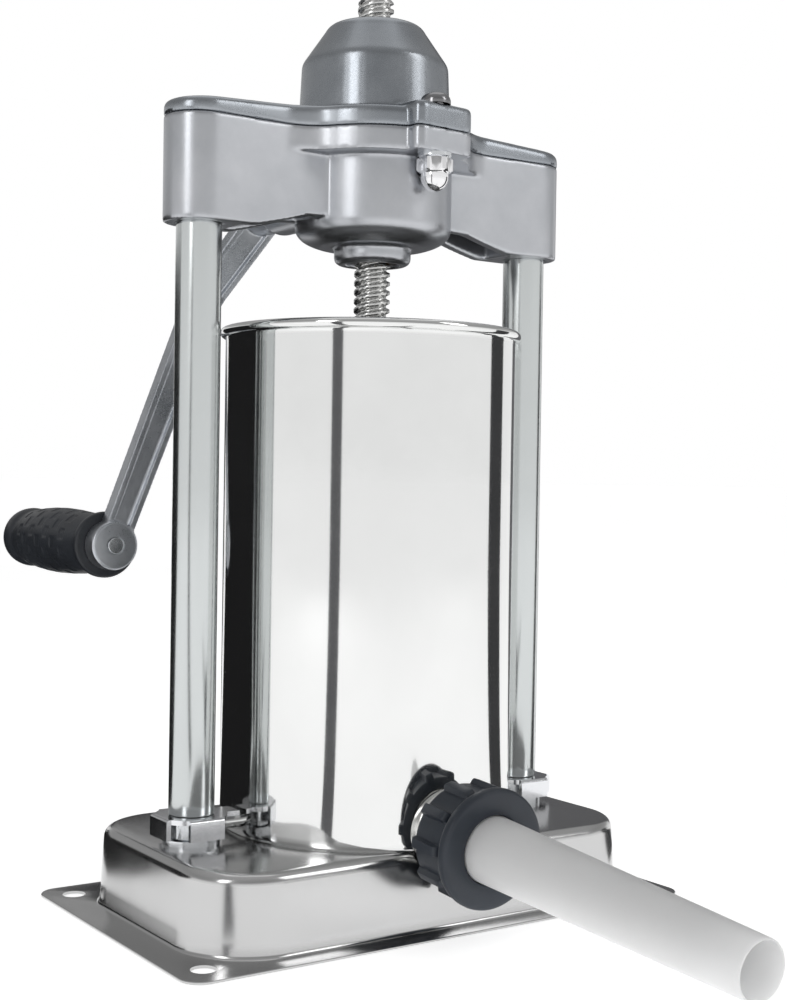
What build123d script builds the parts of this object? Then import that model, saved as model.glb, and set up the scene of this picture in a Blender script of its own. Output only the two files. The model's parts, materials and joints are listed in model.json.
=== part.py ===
"""Hand-cranked vertical sausage stuffer: steel base, two columns, a cast head with
a bevel gear drive, a screw and piston, a loose cylinder and a stuffing tube.

The origin is the centre of the base's underside. The columns stand along X, the
stuffing tube leaves towards -Y, the crank is at the back (+Y), and +Z is up.
"""
from build123d import *
from math import atan, cos, hypot, pi, radians, sin
import os

os.makedirs("parts", exist_ok=True)

# ---------------------------------------------------------------- driving sizes
SHEET = 1.2                       # stainless sheet of the base and the cylinder

FLANGE_X, FLANGE_Y = 247.0, 150.4
FLANGE_CORNER = 9.0
BOLT_X, BOLT_Y = 111.0, 61.3      # half spacing of the four base holes
BOLT_HOLE_R = 5.0
BOX_X, BOX_Y = 217.2, 129.4       # raised part of the base, where it leaves the flange
BOX_CORNER = 32.0
BOX_DRAFT = 3.0
BASE_TOP = 33.5
BASE_EDGE = 4.0

COLUMN_X = 85.6
COLUMN_R = 9.5
STUD_R = 6.0
FOOT_WASHER_TOP = BASE_TOP + 2.5
FOOT_NUT_TOP = FOOT_WASHER_TOP + 7.4
CLIP_TOP = FOOT_NUT_TOP + 2.0
STUD_END = 13.0
BACKING_T = 2.0

CYL_R = 64.0
CYL_TOP = 250.1
BEAD_R = 66.5
BEAD_H = 4.5
FLOOR_TOP = BASE_TOP + SHEET
LUG_Z = 40.2
LUG_R = 3.0
LUG_END = 72.0

# The spout's axis dips away from the cylinder; NUT_FACE is the ring nut's front face.
SPOUT_DIP = 4.0
NUT_FACE = (0.0, -93.8, 38.8)
SPOUT_BORE_R = 11.0
SPOUT_R = 16.5
SPOUT_END = 8.0                   # from the nut's face back to the spout's mouth
NUT_LENGTH = 24.0
NUT_WALL = 4.0
TUBE_FLANGE_T = 2.5
TUBE_REACH = 141.0
TUBE_ROOT_R, TUBE_TIP_R = 13.7, 11.0
TUBE_WALL = 1.5
GUTTER_INNER_Y = -44.0
NOTCH_R = 19.0
NOTCH_Y = -36.0

SHAFT_Z = 316.0                   # crank shaft's axis
HEAD_BOTTOM = 289.0
PARTING_Z = 332.5
COVER_TOP = 340.0                 # ceiling of the gear chamber
FLANGE_TOP = 341.5
EAR_TOP = 343.0
BAR_TIP_TOP = 337.5
BLEND_R = 20.0                    # between the bars and the round flange, from above
EAR_BOTTOM = 322.4
BAR_END_R = 15.0
BAR_WAIST_R = 12.5
BAR_WAIST_X = 42.0
ARCH_TOP = 297.0
GEARBOX_R = 34.5
BOWL_TOP, BOWL_BOTTOM = 294.5, 286.6
BOWL_FOOT_R = 24.0
COLLAR_R = 17.0
COLLAR_BOTTOM = 279.1
FLANGE_R = 42.5
EAR_ANGLES = (-85.0, 35.0, 151.0)
EAR_BOLT_R = 41.5
EAR_TIP_R = 47.5
EAR_WIDTH = 31.0
EAR_SHIFT = 1.5                   # the ears stand a little to one side of their screws
CAVITY_R = 29.5
CAVITY_FLOOR = 299.0
REAR_BOSS_R = 14.0
REAR_BOSS_END = 82.0
DOME_FOOT_R, DOME_WAIST_R = 33.5, 32.3
DOME_WAIST_Z = 366.0
DOME_CONE_R, DOME_CONE_Z = 22.3, 380.6
DOME_TOP = 384.0

SCREW_R = 7.95
SCREW_TOP = 396.0
SCREW_HOLE_R = 8.7
RUNNING_GAP = 0.08                # radial gap of a shaft in its bush
NUT_BORE_R = SCREW_R + RUNNING_GAP
JOURNAL_R = 11.5
BUSH_R = 14.0
BUSH_BOTTOM = 284.0

MODULE = 2.0
PINION_TEETH, WHEEL_TEETH = 12, 24
GEAR_FACE = 9.0
ADDENDUM = 0.8 * MODULE
DEDENDUM = 1.2 * MODULE

RACE_BOTTOM = COVER_TOP           # the thrust bearing sits on the gear's hub
RACE_T = 3.0
RACE_IN_R, RACE_OUT_R = 12.5, 21.0
BALL_R = 3.0
BALL_CIRCLE_R = 16.7
BALL_GAP = 5.0                    # between the two races
BALL_COUNT = 12

SHAFT_R = 6.0
PINION_SEAT_R = 5.0
SHAFT_INNER_Y = 13.5
SHAFT_STEP_Y = 36.0
PINION_END_Y = 34.0
HUB_Y0, HUB_Y1 = 86.0, 102.0
HUB_R = 11.5
ARM_LENGTH = 178.0
ARM_LEAN = 21.5                   # from straight down towards -X, at rest
ARM_OFFSET = 36.0                 # how far the arm is cranked outwards
ARM_T = 8.0
ARM_WEB_T = 3.0
ARM_BEAD = 3.2
BOSS_R = 12.0
BOSS_T = 10.0
SPINDLE_R = 4.0

PISTON_R = 61.8
PISTON_BOTTOM, PISTON_TOP = 38.0, 50.0
PISTON_HUB_TOP = 56.0
SEAL_R = 62.5
VALVE_X = 34.0

# ---------------------------------------------------------------- shared planes
dip = radians(SPOUT_DIP)
SPOUT_OUT = (0, -cos(dip), -sin(dip))
spout_plane = Plane(origin=NUT_FACE, x_dir=(1, 0, 0), z_dir=SPOUT_OUT)

lean = radians(ARM_LEAN)
ARM_DIR = (-sin(lean), 0, -cos(lean))
HANDLE_X = ARM_LENGTH * ARM_DIR[0]
HANDLE_Z = SHAFT_Z + ARM_LENGTH * ARM_DIR[2]
ARM_MID_Y = (HUB_Y0 + HUB_Y1) / 2
ARM_FAR_Y = ARM_MID_Y + ARM_OFFSET
BOSS_Y1 = ARM_FAR_Y + ARM_T / 2
BOSS_Y0 = BOSS_Y1 - BOSS_T
SIDES = ((-1, "left"), (1, "right"))


def shaft_plane(y):
    """Plane square to the crank shaft at this y, centred on it, with local x along X."""
    return Plane(origin=(0, y, SHAFT_Z), x_dir=(1, 0, 0), z_dir=(0, 1, 0))


def handle_plane(y):
    """The same plane, centred on the handle's spindle."""
    return Plane(origin=(HANDLE_X, y, HANDLE_Z), x_dir=(1, 0, 0), z_dir=(0, 1, 0))


def spout_at(distance):
    """Plane square to the spout's axis, this far outwards from the ring nut's face."""
    return spout_plane.offset(distance)


def hex_radius(across_flats):
    """Radius across the corners of a hexagon of this width across flats."""
    return across_flats / 3 ** 0.5


def save(piece, name):
    """Label a finished piece and write it under its own name."""
    piece.part.label = name
    export_step(piece.part, f"parts/{name}.step")


# ---------------------------------------------------------------- base
def pan_body(inset):
    """Raised part of the base, this far inside the outer skin, with the spout's notch."""
    with BuildPart() as body:
        with BuildSketch():
            RectangleRounded(BOX_X - 2 * inset, BOX_Y - 2 * inset, BOX_CORNER - inset)
        extrude(amount=BASE_TOP - inset, taper=BOX_DRAFT)
        fillet(body.faces().sort_by(Axis.Z)[-1].edges(), BASE_EDGE - inset)
        notch_depth = -NUT_FACE[1] + NOTCH_Y + inset
        with BuildSketch(spout_at(-notch_depth)):
            Circle(NOTCH_R + inset)
        extrude(amount=notch_depth, mode=Mode.SUBTRACT)
    return body.part


with BuildPart() as base_pan:
    with BuildSketch():
        RectangleRounded(FLANGE_X, FLANGE_Y, FLANGE_CORNER)
    extrude(amount=SHEET)
    with BuildSketch():
        with GridLocations(2 * BOLT_X, 2 * BOLT_Y, 2, 2):
            Circle(BOLT_HOLE_R)
    extrude(amount=SHEET, mode=Mode.SUBTRACT)
    add(pan_body(0))
    add(pan_body(SHEET), mode=Mode.SUBTRACT)
    with BuildSketch():
        with GridLocations(2 * COLUMN_X, 0, 2, 1):
            Circle(STUD_R)
    extrude(amount=BASE_TOP, mode=Mode.SUBTRACT)
save(base_pan, "base_pan")

BACKING_TOP = BASE_TOP - SHEET
with BuildPart() as base_backing_plates:
    with BuildSketch(Plane.XY.offset(BACKING_TOP - BACKING_T)):
        with GridLocations(2 * COLUMN_X, 0, 2, 1):
            RectangleRounded(34, 60, 3)
            Circle(STUD_R, mode=Mode.SUBTRACT)
    extrude(amount=BACKING_T)
save(base_backing_plates, "base_backing_plates")


def column_rings(outer_r, inner_r, bottom, thickness):
    """A washer round each of the two column studs."""
    with BuildPart() as rings:
        with BuildSketch(Plane.XY.offset(bottom)):
            with GridLocations(2 * COLUMN_X, 0, 2, 1):
                Circle(outer_r)
                Circle(inner_r, mode=Mode.SUBTRACT)
        extrude(amount=thickness)
    return rings


def column_nuts(across_flats, bottom, height):
    """A hexagon nut round each of the two column studs."""
    with BuildPart() as nuts:
        with BuildSketch(Plane.XY.offset(bottom)):
            with GridLocations(2 * COLUMN_X, 0, 2, 1):
                RegularPolygon(hex_radius(across_flats), 6)
                Circle(STUD_R, mode=Mode.SUBTRACT)
        extrude(amount=height)
    return nuts


LOCK_WASHER_TOP = BACKING_TOP - BACKING_T
LOCK_NUT_TOP = LOCK_WASHER_TOP - 2.0
save(column_rings(12, STUD_R, LOCK_NUT_TOP, 2.0), "base_lock_washers")
save(column_nuts(19, LOCK_NUT_TOP - 10, 10), "base_lock_nuts")
save(column_rings(12, STUD_R, BASE_TOP, FOOT_WASHER_TOP - BASE_TOP), "foot_washers")
save(column_nuts(19, FOOT_WASHER_TOP, FOOT_NUT_TOP - FOOT_WASHER_TOP), "foot_nuts")


# ---------------------------------------------------------------- columns and clips
COLUMN_TOP = SHAFT_Z
TOP_SCREW_R = 5.0
TOP_SCREW_SEAT = 322.5

for side, word in SIDES:
    with BuildPart() as column:
        with BuildSketch(Plane.XY.offset(CLIP_TOP)):
            with Locations((side * COLUMN_X, 0)):
                Circle(COLUMN_R)
        extrude(amount=COLUMN_TOP - CLIP_TOP)
        ends = column.edges().filter_by(GeomType.CIRCLE).sort_by(Axis.Z)
        chamfer([ends[0], ends[-1]], 0.6)
        with BuildSketch(Plane.XY.offset(STUD_END)):
            with Locations((side * COLUMN_X, 0)):
                Circle(STUD_R)
        extrude(amount=CLIP_TOP - STUD_END)
        chamfer(column.edges().filter_by(GeomType.CIRCLE).sort_by(Axis.Z)[0], 1.0)
        with BuildSketch(Plane.XY.offset(COLUMN_TOP - 22)):
            with Locations((side * COLUMN_X, 0)):
                Circle(TOP_SCREW_R)
        extrude(amount=22, mode=Mode.SUBTRACT)
    save(column, f"column_{word}")

CLIP_T = 2.0
CLIP_R = 15.0
LEG_W = 15.5
LEG_BOTTOM = 36.8
TONGUE_END = CYL_R + 1.6
for side, word in SIDES:
    with BuildPart() as clip:
        with BuildSketch(Plane.XY.offset(CLIP_TOP - CLIP_T)):
            with Locations((side * COLUMN_X, 0)):
                Circle(CLIP_R)
                Rectangle(LEG_W, 2 * CLIP_R)
            with Locations((side * (COLUMN_X + CLIP_R / 2), 0)):
                Rectangle(CLIP_R, LEG_W)
            with Locations((side * (TONGUE_END + COLUMN_X) / 2, 0)):
                Rectangle(COLUMN_X - TONGUE_END, 10)
            with Locations((side * COLUMN_X, 0)):
                Circle(STUD_R, mode=Mode.SUBTRACT)
        extrude(amount=CLIP_T)
        with BuildSketch(Plane.XY.offset(LEG_BOTTOM)):
            with Locations((side * COLUMN_X, CLIP_R - CLIP_T / 2), (side * COLUMN_X, CLIP_T / 2 - CLIP_R)):
                Rectangle(LEG_W, CLIP_T)
            with Locations((side * (COLUMN_X + CLIP_R - CLIP_T / 2), 0)):
                Rectangle(CLIP_T, LEG_W)
        extrude(amount=CLIP_TOP - CLIP_T - LEG_BOTTOM)
        bends = clip.edges().group_by(Axis.Z)[-1].filter_by(GeomType.LINE)
        fillet(bends.filter_by(lambda e: abs(e.length - LEG_W) < 0.01), 1.5)
    save(clip, f"clip_{word}")

# ---------------------------------------------------------------- cylinder
with BuildPart() as gutter_bore:
    gutter_length = -NUT_FACE[1] + GUTTER_INNER_Y
    with BuildSketch(spout_at(-gutter_length)):
        Circle(SPOUT_BORE_R)
    extrude(amount=gutter_length)

with BuildPart() as cylinder_shell:
    with BuildSketch(Plane.XY.offset(BASE_TOP)):
        Circle(CYL_R)
        Circle(CYL_R - SHEET, mode=Mode.SUBTRACT)
    extrude(amount=CYL_TOP - BASE_TOP)
    with BuildSketch(Plane.XZ):
        with BuildLine():
            Polyline((CYL_R - 0.1, CYL_TOP - BEAD_H), (CYL_R + 0.8, CYL_TOP - BEAD_H))
            ThreePointArc((CYL_R + 0.8, CYL_TOP - BEAD_H), (BEAD_R, CYL_TOP - BEAD_H / 2), (CYL_R + 0.8, CYL_TOP))
            Polyline((CYL_R + 0.8, CYL_TOP), (CYL_R - 0.1, CYL_TOP), (CYL_R - 0.1, CYL_TOP - BEAD_H))
        make_face()
    revolve(axis=Axis.Z)
    add(gutter_bore.part, mode=Mode.SUBTRACT)
save(cylinder_shell, "cylinder_shell")

GUTTER_R = SPOUT_BORE_R + SHEET
with BuildPart() as gutter:
    gutter_depth = -NUT_FACE[1] - CYL_R
    with BuildSketch(spout_at(-gutter_length)):
        Circle(GUTTER_R)
    extrude(amount=gutter_length - gutter_depth)
    with Locations(spout_at(-gutter_length).location):
        Sphere(GUTTER_R)
    split(bisect_by=Plane.XY.offset(FLOOR_TOP), keep=Keep.BOTTOM)

with BuildPart() as cylinder_floor:
    with BuildSketch(Plane.XY.offset(BASE_TOP)):
        Circle(CYL_R - SHEET)
    extrude(amount=SHEET)
    add(gutter.part)
    add(gutter_bore.part, mode=Mode.SUBTRACT)
    with Locations(spout_at(-gutter_length).location):
        Sphere(SPOUT_BORE_R, mode=Mode.SUBTRACT)
    with BuildSketch(Plane.XY.offset(BASE_TOP)):
        Circle(CYL_R + 10)
        Circle(CYL_R - SHEET, mode=Mode.SUBTRACT)
    extrude(amount=10, mode=Mode.SUBTRACT)
save(cylinder_floor, "cylinder_floor")

with BuildPart() as cylinder_lugs:
    with BuildSketch(Plane.YZ.offset(-LUG_END)):
        with Locations((0, LUG_Z)):
            Circle(LUG_R)
    extrude(amount=2 * LUG_END)
    chamfer(cylinder_lugs.edges().filter_by(GeomType.CIRCLE), 0.8)
    with BuildSketch():
        Circle(CYL_R)
    extrude(amount=CYL_TOP, mode=Mode.SUBTRACT)
save(cylinder_lugs, "cylinder_lugs")

# ---------------------------------------------------------------- spout, tube, ring nut
SPOUT_ROOT_Y = 60.0
THREAD_PITCH = 3.0
with BuildPart() as spout:
    spout_length = -NUT_FACE[1] - SPOUT_END - SPOUT_ROOT_Y
    with BuildSketch(spout_at(-SPOUT_END - spout_length)):
        Circle(SPOUT_R)
    extrude(amount=spout_length)
    chamfer(spout.edges().filter_by(GeomType.CIRCLE).sort_by(Axis.Y)[0], 1.0)
    groove_at = -SPOUT_END - 2.5
    for turn in range(6):
        with BuildSketch(spout_at(groove_at - turn * THREAD_PITCH)):
            Circle(SPOUT_R + 1)
            Circle(SPOUT_R - 1, mode=Mode.SUBTRACT)
        extrude(amount=1.4, mode=Mode.SUBTRACT)
    with BuildSketch(Plane.XY.offset(BASE_TOP)):
        Circle(CYL_R)
    extrude(amount=CYL_TOP, mode=Mode.SUBTRACT)
    with BuildSketch(spout_at(-gutter_length)):
        Circle(GUTTER_R)
    extrude(amount=gutter_length - gutter_depth, mode=Mode.SUBTRACT)
    with BuildSketch(spout_at(-gutter_length)):
        Circle(SPOUT_BORE_R)
    extrude(amount=gutter_length, mode=Mode.SUBTRACT)
save(spout, "spout")

FLANGE_OUT = -NUT_WALL
FLANGE_IN = FLANGE_OUT - TUBE_FLANGE_T
with BuildPart() as stuffing_tube:
    with BuildSketch(Plane(origin=NUT_FACE, x_dir=SPOUT_OUT, z_dir=(1, 0, 0))):
        with BuildLine():
            Polyline(
                (FLANGE_IN, TUBE_ROOT_R - TUBE_WALL),
                (FLANGE_IN, SPOUT_R - 0.2),
                (FLANGE_OUT, SPOUT_R - 0.2),
                (FLANGE_OUT, TUBE_ROOT_R),
                (TUBE_REACH, TUBE_TIP_R),
                (TUBE_REACH, TUBE_TIP_R - 0.9),
                (TUBE_REACH - 12, TUBE_TIP_R - TUBE_WALL),
                (FLANGE_IN, TUBE_ROOT_R - TUBE_WALL),
            )
        make_face()
    revolve(axis=Axis(NUT_FACE, SPOUT_OUT))
save(stuffing_tube, "stuffing_tube")

with BuildPart() as tube_gasket:
    with BuildSketch(spout_at(-SPOUT_END)):
        Circle(SPOUT_R - 0.3)
        Circle(TUBE_ROOT_R - TUBE_WALL, mode=Mode.SUBTRACT)
    extrude(amount=SPOUT_END + FLANGE_IN)
save(tube_gasket, "tube_gasket")

NUT_FACE_R = 24.6
NUT_FACE_T = 5.0
NUT_BODY_R = 21.5
RIB_COUNT = 10
with BuildPart() as ring_nut:
    with BuildSketch(spout_at(-NUT_LENGTH)):
        Circle(NUT_BODY_R)
        with PolarLocations(NUT_BODY_R - 1.2, RIB_COUNT):
            Circle(3.7)
    extrude(amount=NUT_LENGTH - NUT_FACE_T)
    with BuildSketch(spout_at(-NUT_FACE_T)):
        Circle(NUT_FACE_R)
    extrude(amount=NUT_FACE_T)
    rims = ring_nut.edges().filter_by(GeomType.CIRCLE).filter_by(lambda e: abs(e.radius - NUT_FACE_R) < 0.01)
    fillet(rims, 1.6)
    with BuildSketch(spout_at(-NUT_LENGTH)):
        Circle(SPOUT_R + RUNNING_GAP)
    extrude(amount=NUT_LENGTH - NUT_WALL, mode=Mode.SUBTRACT)
    with BuildSketch(spout_at(-NUT_WALL)):
        Circle(TUBE_ROOT_R + 0.3)
    extrude(amount=NUT_WALL, mode=Mode.SUBTRACT)
save(ring_nut, "ring_nut")


# ---------------------------------------------------------------- cast head
def bars_outline():
    """Both bars of the head from above: round at the columns, narrower at the gearbox."""
    with BuildSketch() as outline:
        for side, word in SIDES:
            with BuildSketch() as bar:
                with Locations((side * COLUMN_X, 0)):
                    Circle(BAR_END_R)
                with Locations((side * BAR_WAIST_X, 0), (side * 10, 0)):
                    Circle(BAR_WAIST_R)
                make_hull()
    return outline.sketch


def flange_outline():
    """The bars and the gearbox's round flange from above, blended into each other."""
    with BuildSketch() as outline:
        add(bars_outline())
        Circle(FLANGE_R)
        joins = outline.vertices().filter_by(lambda v: abs(hypot(v.X, v.Y) - FLANGE_R) < 0.01 and abs(v.Y) > 5)
        fillet(joins, BLEND_R)
    return outline.sketch


def ears_outline():
    """The three squared ears of the gearbox flange from above."""
    with BuildSketch() as outline:
        for angle in EAR_ANGLES:
            with Locations(Location((0, 0), angle)):
                with Locations((EAR_TIP_R / 2, EAR_SHIFT)):
                    Rectangle(EAR_TIP_R, EAR_WIDTH)
        tips = outline.vertices().filter_by(lambda v: hypot(v.X, v.Y) > FLANGE_R + 2)
        fillet(tips, 4)
    return outline.sketch


def ear_spots(radius=EAR_BOLT_R):
    """Where the three cover screws stand."""
    return [(radius * cos(radians(a)), radius * sin(radians(a))) for a in EAR_ANGLES]


EAR_HOLE_R = 4.3
NUT_POCKET_R = 8.0
NUT_POCKET_H = 8.6
with BuildPart() as head_housing:
    with BuildSketch(Plane.XY.offset(HEAD_BOTTOM)):
        add(bars_outline())
    extrude(amount=PARTING_Z - HEAD_BOTTOM)
    with BuildSketch(Plane.XZ):
        with BuildLine():
            Polyline((-66, HEAD_BOTTOM), (-66, HEAD_BOTTOM - 5), (66, HEAD_BOTTOM - 5), (66, HEAD_BOTTOM))
            ThreePointArc((66, HEAD_BOTTOM), (54, HEAD_BOTTOM + 3), (42, ARCH_TOP - 1.5))
            ThreePointArc((42, ARCH_TOP - 1.5), (0, ARCH_TOP), (-42, ARCH_TOP - 1.5))
            ThreePointArc((-42, ARCH_TOP - 1.5), (-54, HEAD_BOTTOM + 3), (-66, HEAD_BOTTOM))
        make_face()
    extrude(amount=2 * BAR_END_R, both=True, mode=Mode.SUBTRACT)
    # open undersides of the two bars, with a rib across each
    with BuildSketch(Plane.XY.offset(HEAD_BOTTOM)):
        for side, word in SIDES:
            with Locations((side * 52.5, 0)):
                Rectangle(35, 2 * BAR_WAIST_R - 8)
        with GridLocations(2 * COLUMN_X, 0, 2, 1):
            Circle(BAR_END_R - 1, mode=Mode.SUBTRACT)
    extrude(amount=EAR_BOTTOM - HEAD_BOTTOM, mode=Mode.SUBTRACT)
    with BuildSketch(Plane.XY.offset(HEAD_BOTTOM + 14)):
        with GridLocations(2 * 52, 0, 2, 1):
            Rectangle(3, 2 * BAR_WAIST_R - 6)
    extrude(amount=EAR_BOTTOM - HEAD_BOTTOM - 13)
    # gearbox pot, its bowl-shaped floor and the screw's collar
    with BuildSketch(Plane.XZ):
        with BuildLine():
            Polyline(
                (0, PARTING_Z),
                (GEARBOX_R, PARTING_Z),
                (GEARBOX_R, BOWL_TOP),
            )
            Spline((GEARBOX_R, BOWL_TOP), (GEARBOX_R - 1.2, BOWL_TOP - 3), (30, 288.8), (BOWL_FOOT_R, BOWL_BOTTOM))
            Polyline((BOWL_FOOT_R, BOWL_BOTTOM), (COLLAR_R, BOWL_BOTTOM), (COLLAR_R, COLLAR_BOTTOM + 3))
            ThreePointArc((COLLAR_R, COLLAR_BOTTOM + 3), (COLLAR_R - 0.9, COLLAR_BOTTOM + 0.9), (COLLAR_R - 3, COLLAR_BOTTOM))
            Polyline((COLLAR_R - 3, COLLAR_BOTTOM), (0, COLLAR_BOTTOM), (0, PARTING_Z))
        make_face()
    revolve(axis=Axis.Z)
    with BuildSketch(Plane.XY.offset(EAR_BOTTOM)):
        add(flange_outline())
        add(ears_outline())
    extrude(amount=PARTING_Z - EAR_BOTTOM)
    with BuildSketch(shaft_plane(20)):
        Circle(REAR_BOSS_R)
    extrude(amount=REAR_BOSS_END - 20)
    fillet(head_housing.edges().filter_by(GeomType.CIRCLE).sort_by(Axis.Y)[-1], 2)
    # room for the hexagons of the acorn nuts below the ears
    with BuildSketch(Plane.XY.offset(EAR_BOTTOM - NUT_POCKET_H)):
        with Locations(*ear_spots()):
            Circle(NUT_POCKET_R)
    extrude(amount=NUT_POCKET_H, mode=Mode.SUBTRACT)
    # inside
    with BuildSketch(Plane.XY.offset(CAVITY_FLOOR)):
        Circle(CAVITY_R)
    extrude(amount=PARTING_Z - CAVITY_FLOOR, mode=Mode.SUBTRACT)
    with BuildSketch(Plane.XY.offset(BUSH_BOTTOM)):
        Circle(BUSH_R)
    extrude(amount=CAVITY_FLOOR - BUSH_BOTTOM, mode=Mode.SUBTRACT)
    with BuildSketch(Plane.XY.offset(COLLAR_BOTTOM)):
        Circle(JOURNAL_R + 0.5)
    extrude(amount=BUSH_BOTTOM - COLLAR_BOTTOM, mode=Mode.SUBTRACT)
    with BuildSketch(shaft_plane(20)):
        Circle(10.5)
    extrude(amount=SHAFT_STEP_Y + 2 - 20, mode=Mode.SUBTRACT)
    with BuildSketch(shaft_plane(20)):
        Circle(SHAFT_R + 2)
    extrude(amount=REAR_BOSS_END - 20, mode=Mode.SUBTRACT)
    # ear holes, column sockets and the pockets of the column screws
    with BuildSketch(Plane.XY.offset(EAR_BOTTOM)):
        with Locations(*ear_spots()):
            Circle(EAR_HOLE_R)
    extrude(amount=PARTING_Z - EAR_BOTTOM, mode=Mode.SUBTRACT)
    with BuildSketch(Plane.XY.offset(HEAD_BOTTOM)):
        with GridLocations(2 * COLUMN_X, 0, 2, 1):
            Circle(COLUMN_R)
    extrude(amount=COLUMN_TOP - HEAD_BOTTOM, mode=Mode.SUBTRACT)
    with BuildSketch(Plane.XY.offset(COLUMN_TOP)):
        with GridLocations(2 * COLUMN_X, 0, 2, 1):
            Circle(TOP_SCREW_R)
    extrude(amount=PARTING_Z - COLUMN_TOP, mode=Mode.SUBTRACT)
    with BuildSketch(Plane.XY.offset(TOP_SCREW_SEAT)):
        with GridLocations(2 * COLUMN_X, 0, 2, 1):
            Circle(11)
    extrude(amount=PARTING_Z - TOP_SCREW_SEAT, mode=Mode.SUBTRACT)
save(head_housing, "head_housing")

SEAT_TOP = RACE_BOTTOM + 2 * RACE_T + BALL_GAP
with BuildPart() as cover_plate:
    with BuildSketch(Plane.XY.offset(PARTING_Z)):
        add(flange_outline())
    extrude(amount=FLANGE_TOP - PARTING_Z)
    with BuildSketch(Plane.XZ):
        for side, word in SIDES:
            with BuildLine():
                Polyline(
                    (side * FLANGE_R, FLANGE_TOP),
                    (side * (COLUMN_X + 2 * BAR_END_R), BAR_TIP_TOP),
                    (side * (COLUMN_X + 2 * BAR_END_R), FLANGE_TOP),
                    close=True,
                )
            make_face()
    extrude(amount=FLANGE_R + 5, both=True, mode=Mode.SUBTRACT)
    tops = cover_plate.faces().filter_by(lambda f: f.normal_at().Z > 0.9)
    fillet(tops.edges().filter_by(lambda e: e.bounding_box().size.X > 0.01), 3.0)

with BuildPart() as cover_ears:
    with BuildSketch(Plane.XY.offset(PARTING_Z)):
        add(ears_outline())
    extrude(amount=EAR_TOP - PARTING_Z)
    fillet(cover_ears.faces().sort_by(Axis.Z)[-1].edges(), 2.4)

with BuildPart() as head_cover:
    add(cover_plate.part)
    add(cover_ears.part)
    with BuildSketch(Plane.XZ):
        with BuildLine():
            Polyline((0, COVER_TOP - 1), (DOME_FOOT_R, COVER_TOP - 1), (DOME_FOOT_R, COVER_TOP))
            Line((DOME_FOOT_R, COVER_TOP), (DOME_WAIST_R, DOME_WAIST_Z))
            Line((DOME_WAIST_R, DOME_WAIST_Z), (DOME_CONE_R, DOME_CONE_Z))
            ThreePointArc((DOME_CONE_R, DOME_CONE_Z), (DOME_CONE_R - 2.0, DOME_TOP - 1.0), (DOME_CONE_R - 5.5, DOME_TOP))
            Polyline((DOME_CONE_R - 5.5, DOME_TOP), (0, DOME_TOP), (0, COVER_TOP - 1))
        make_face()
    revolve(axis=Axis.Z)
    waist = head_cover.edges().filter_by(GeomType.CIRCLE).filter_by(lambda e: abs(e.radius - DOME_WAIST_R) < 0.01)
    fillet(waist, 5)
    with BuildSketch(Plane.XY.offset(PARTING_Z)):
        Circle(CAVITY_R)
    extrude(amount=COVER_TOP + 3 - PARTING_Z, mode=Mode.SUBTRACT)
    with BuildSketch(Plane.XY.offset(COVER_TOP)):
        Circle(RACE_OUT_R)
    extrude(amount=SEAT_TOP - COVER_TOP, mode=Mode.SUBTRACT)
    with BuildSketch(Plane.XY.offset(COVER_TOP)):
        Circle(CAVITY_R - 1)
        Circle(RACE_OUT_R + 3.5, mode=Mode.SUBTRACT)
    extrude(amount=DOME_WAIST_Z - COVER_TOP - 3, mode=Mode.SUBTRACT)
    with BuildSketch(Plane.XY.offset(COVER_TOP)):
        Circle(SCREW_HOLE_R)
    extrude(amount=DOME_TOP - COVER_TOP, mode=Mode.SUBTRACT)
    with BuildSketch(Plane.XY.offset(PARTING_Z)):
        with Locations(*ear_spots()):
            Circle(EAR_HOLE_R)
    extrude(amount=EAR_TOP - PARTING_Z, mode=Mode.SUBTRACT)
save(head_cover, "head_cover")

# ---------------------------------------------------------------- head fasteners
ACORN_AF = 13.4
ACORN_HEX_H = 6.5
ACORN_DOME_R = 6.1
ACORN_H = 14.4
EAR_WASHER_T = 1.6
SCREW_HEAD_R = 6.4
SCREW_HEAD_H = 4.7
ACORN_TOP = EAR_BOTTOM - EAR_WASHER_T
EAR_SCREW_END = ACORN_TOP - 11
with BuildPart() as cover_screws:
    with BuildSketch(Plane.XY.offset(EAR_SCREW_END)):
        with Locations(*ear_spots()):
            Circle(4)
    extrude(amount=EAR_TOP - EAR_SCREW_END)
    with BuildSketch(Plane.XY.offset(EAR_TOP)):
        with Locations(*ear_spots()):
            Circle(SCREW_HEAD_R)
    extrude(amount=SCREW_HEAD_H)
    fillet(cover_screws.edges().group_by(Axis.Z)[-1], 3.6)
    with BuildSketch(Plane.XY.offset(EAR_TOP + SCREW_HEAD_H - 2)):
        with Locations(*ear_spots()):
            Rectangle(6, 1.3)
            Rectangle(1.3, 6)
    extrude(amount=3, mode=Mode.SUBTRACT)
save(cover_screws, "cover_screws")

with BuildPart() as acorn_washers:
    with BuildSketch(Plane.XY.offset(ACORN_TOP)):
        with Locations(*ear_spots()):
            Circle(7.4)
            Circle(4, mode=Mode.SUBTRACT)
    extrude(amount=EAR_WASHER_T)
save(acorn_washers, "acorn_washers")

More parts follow.
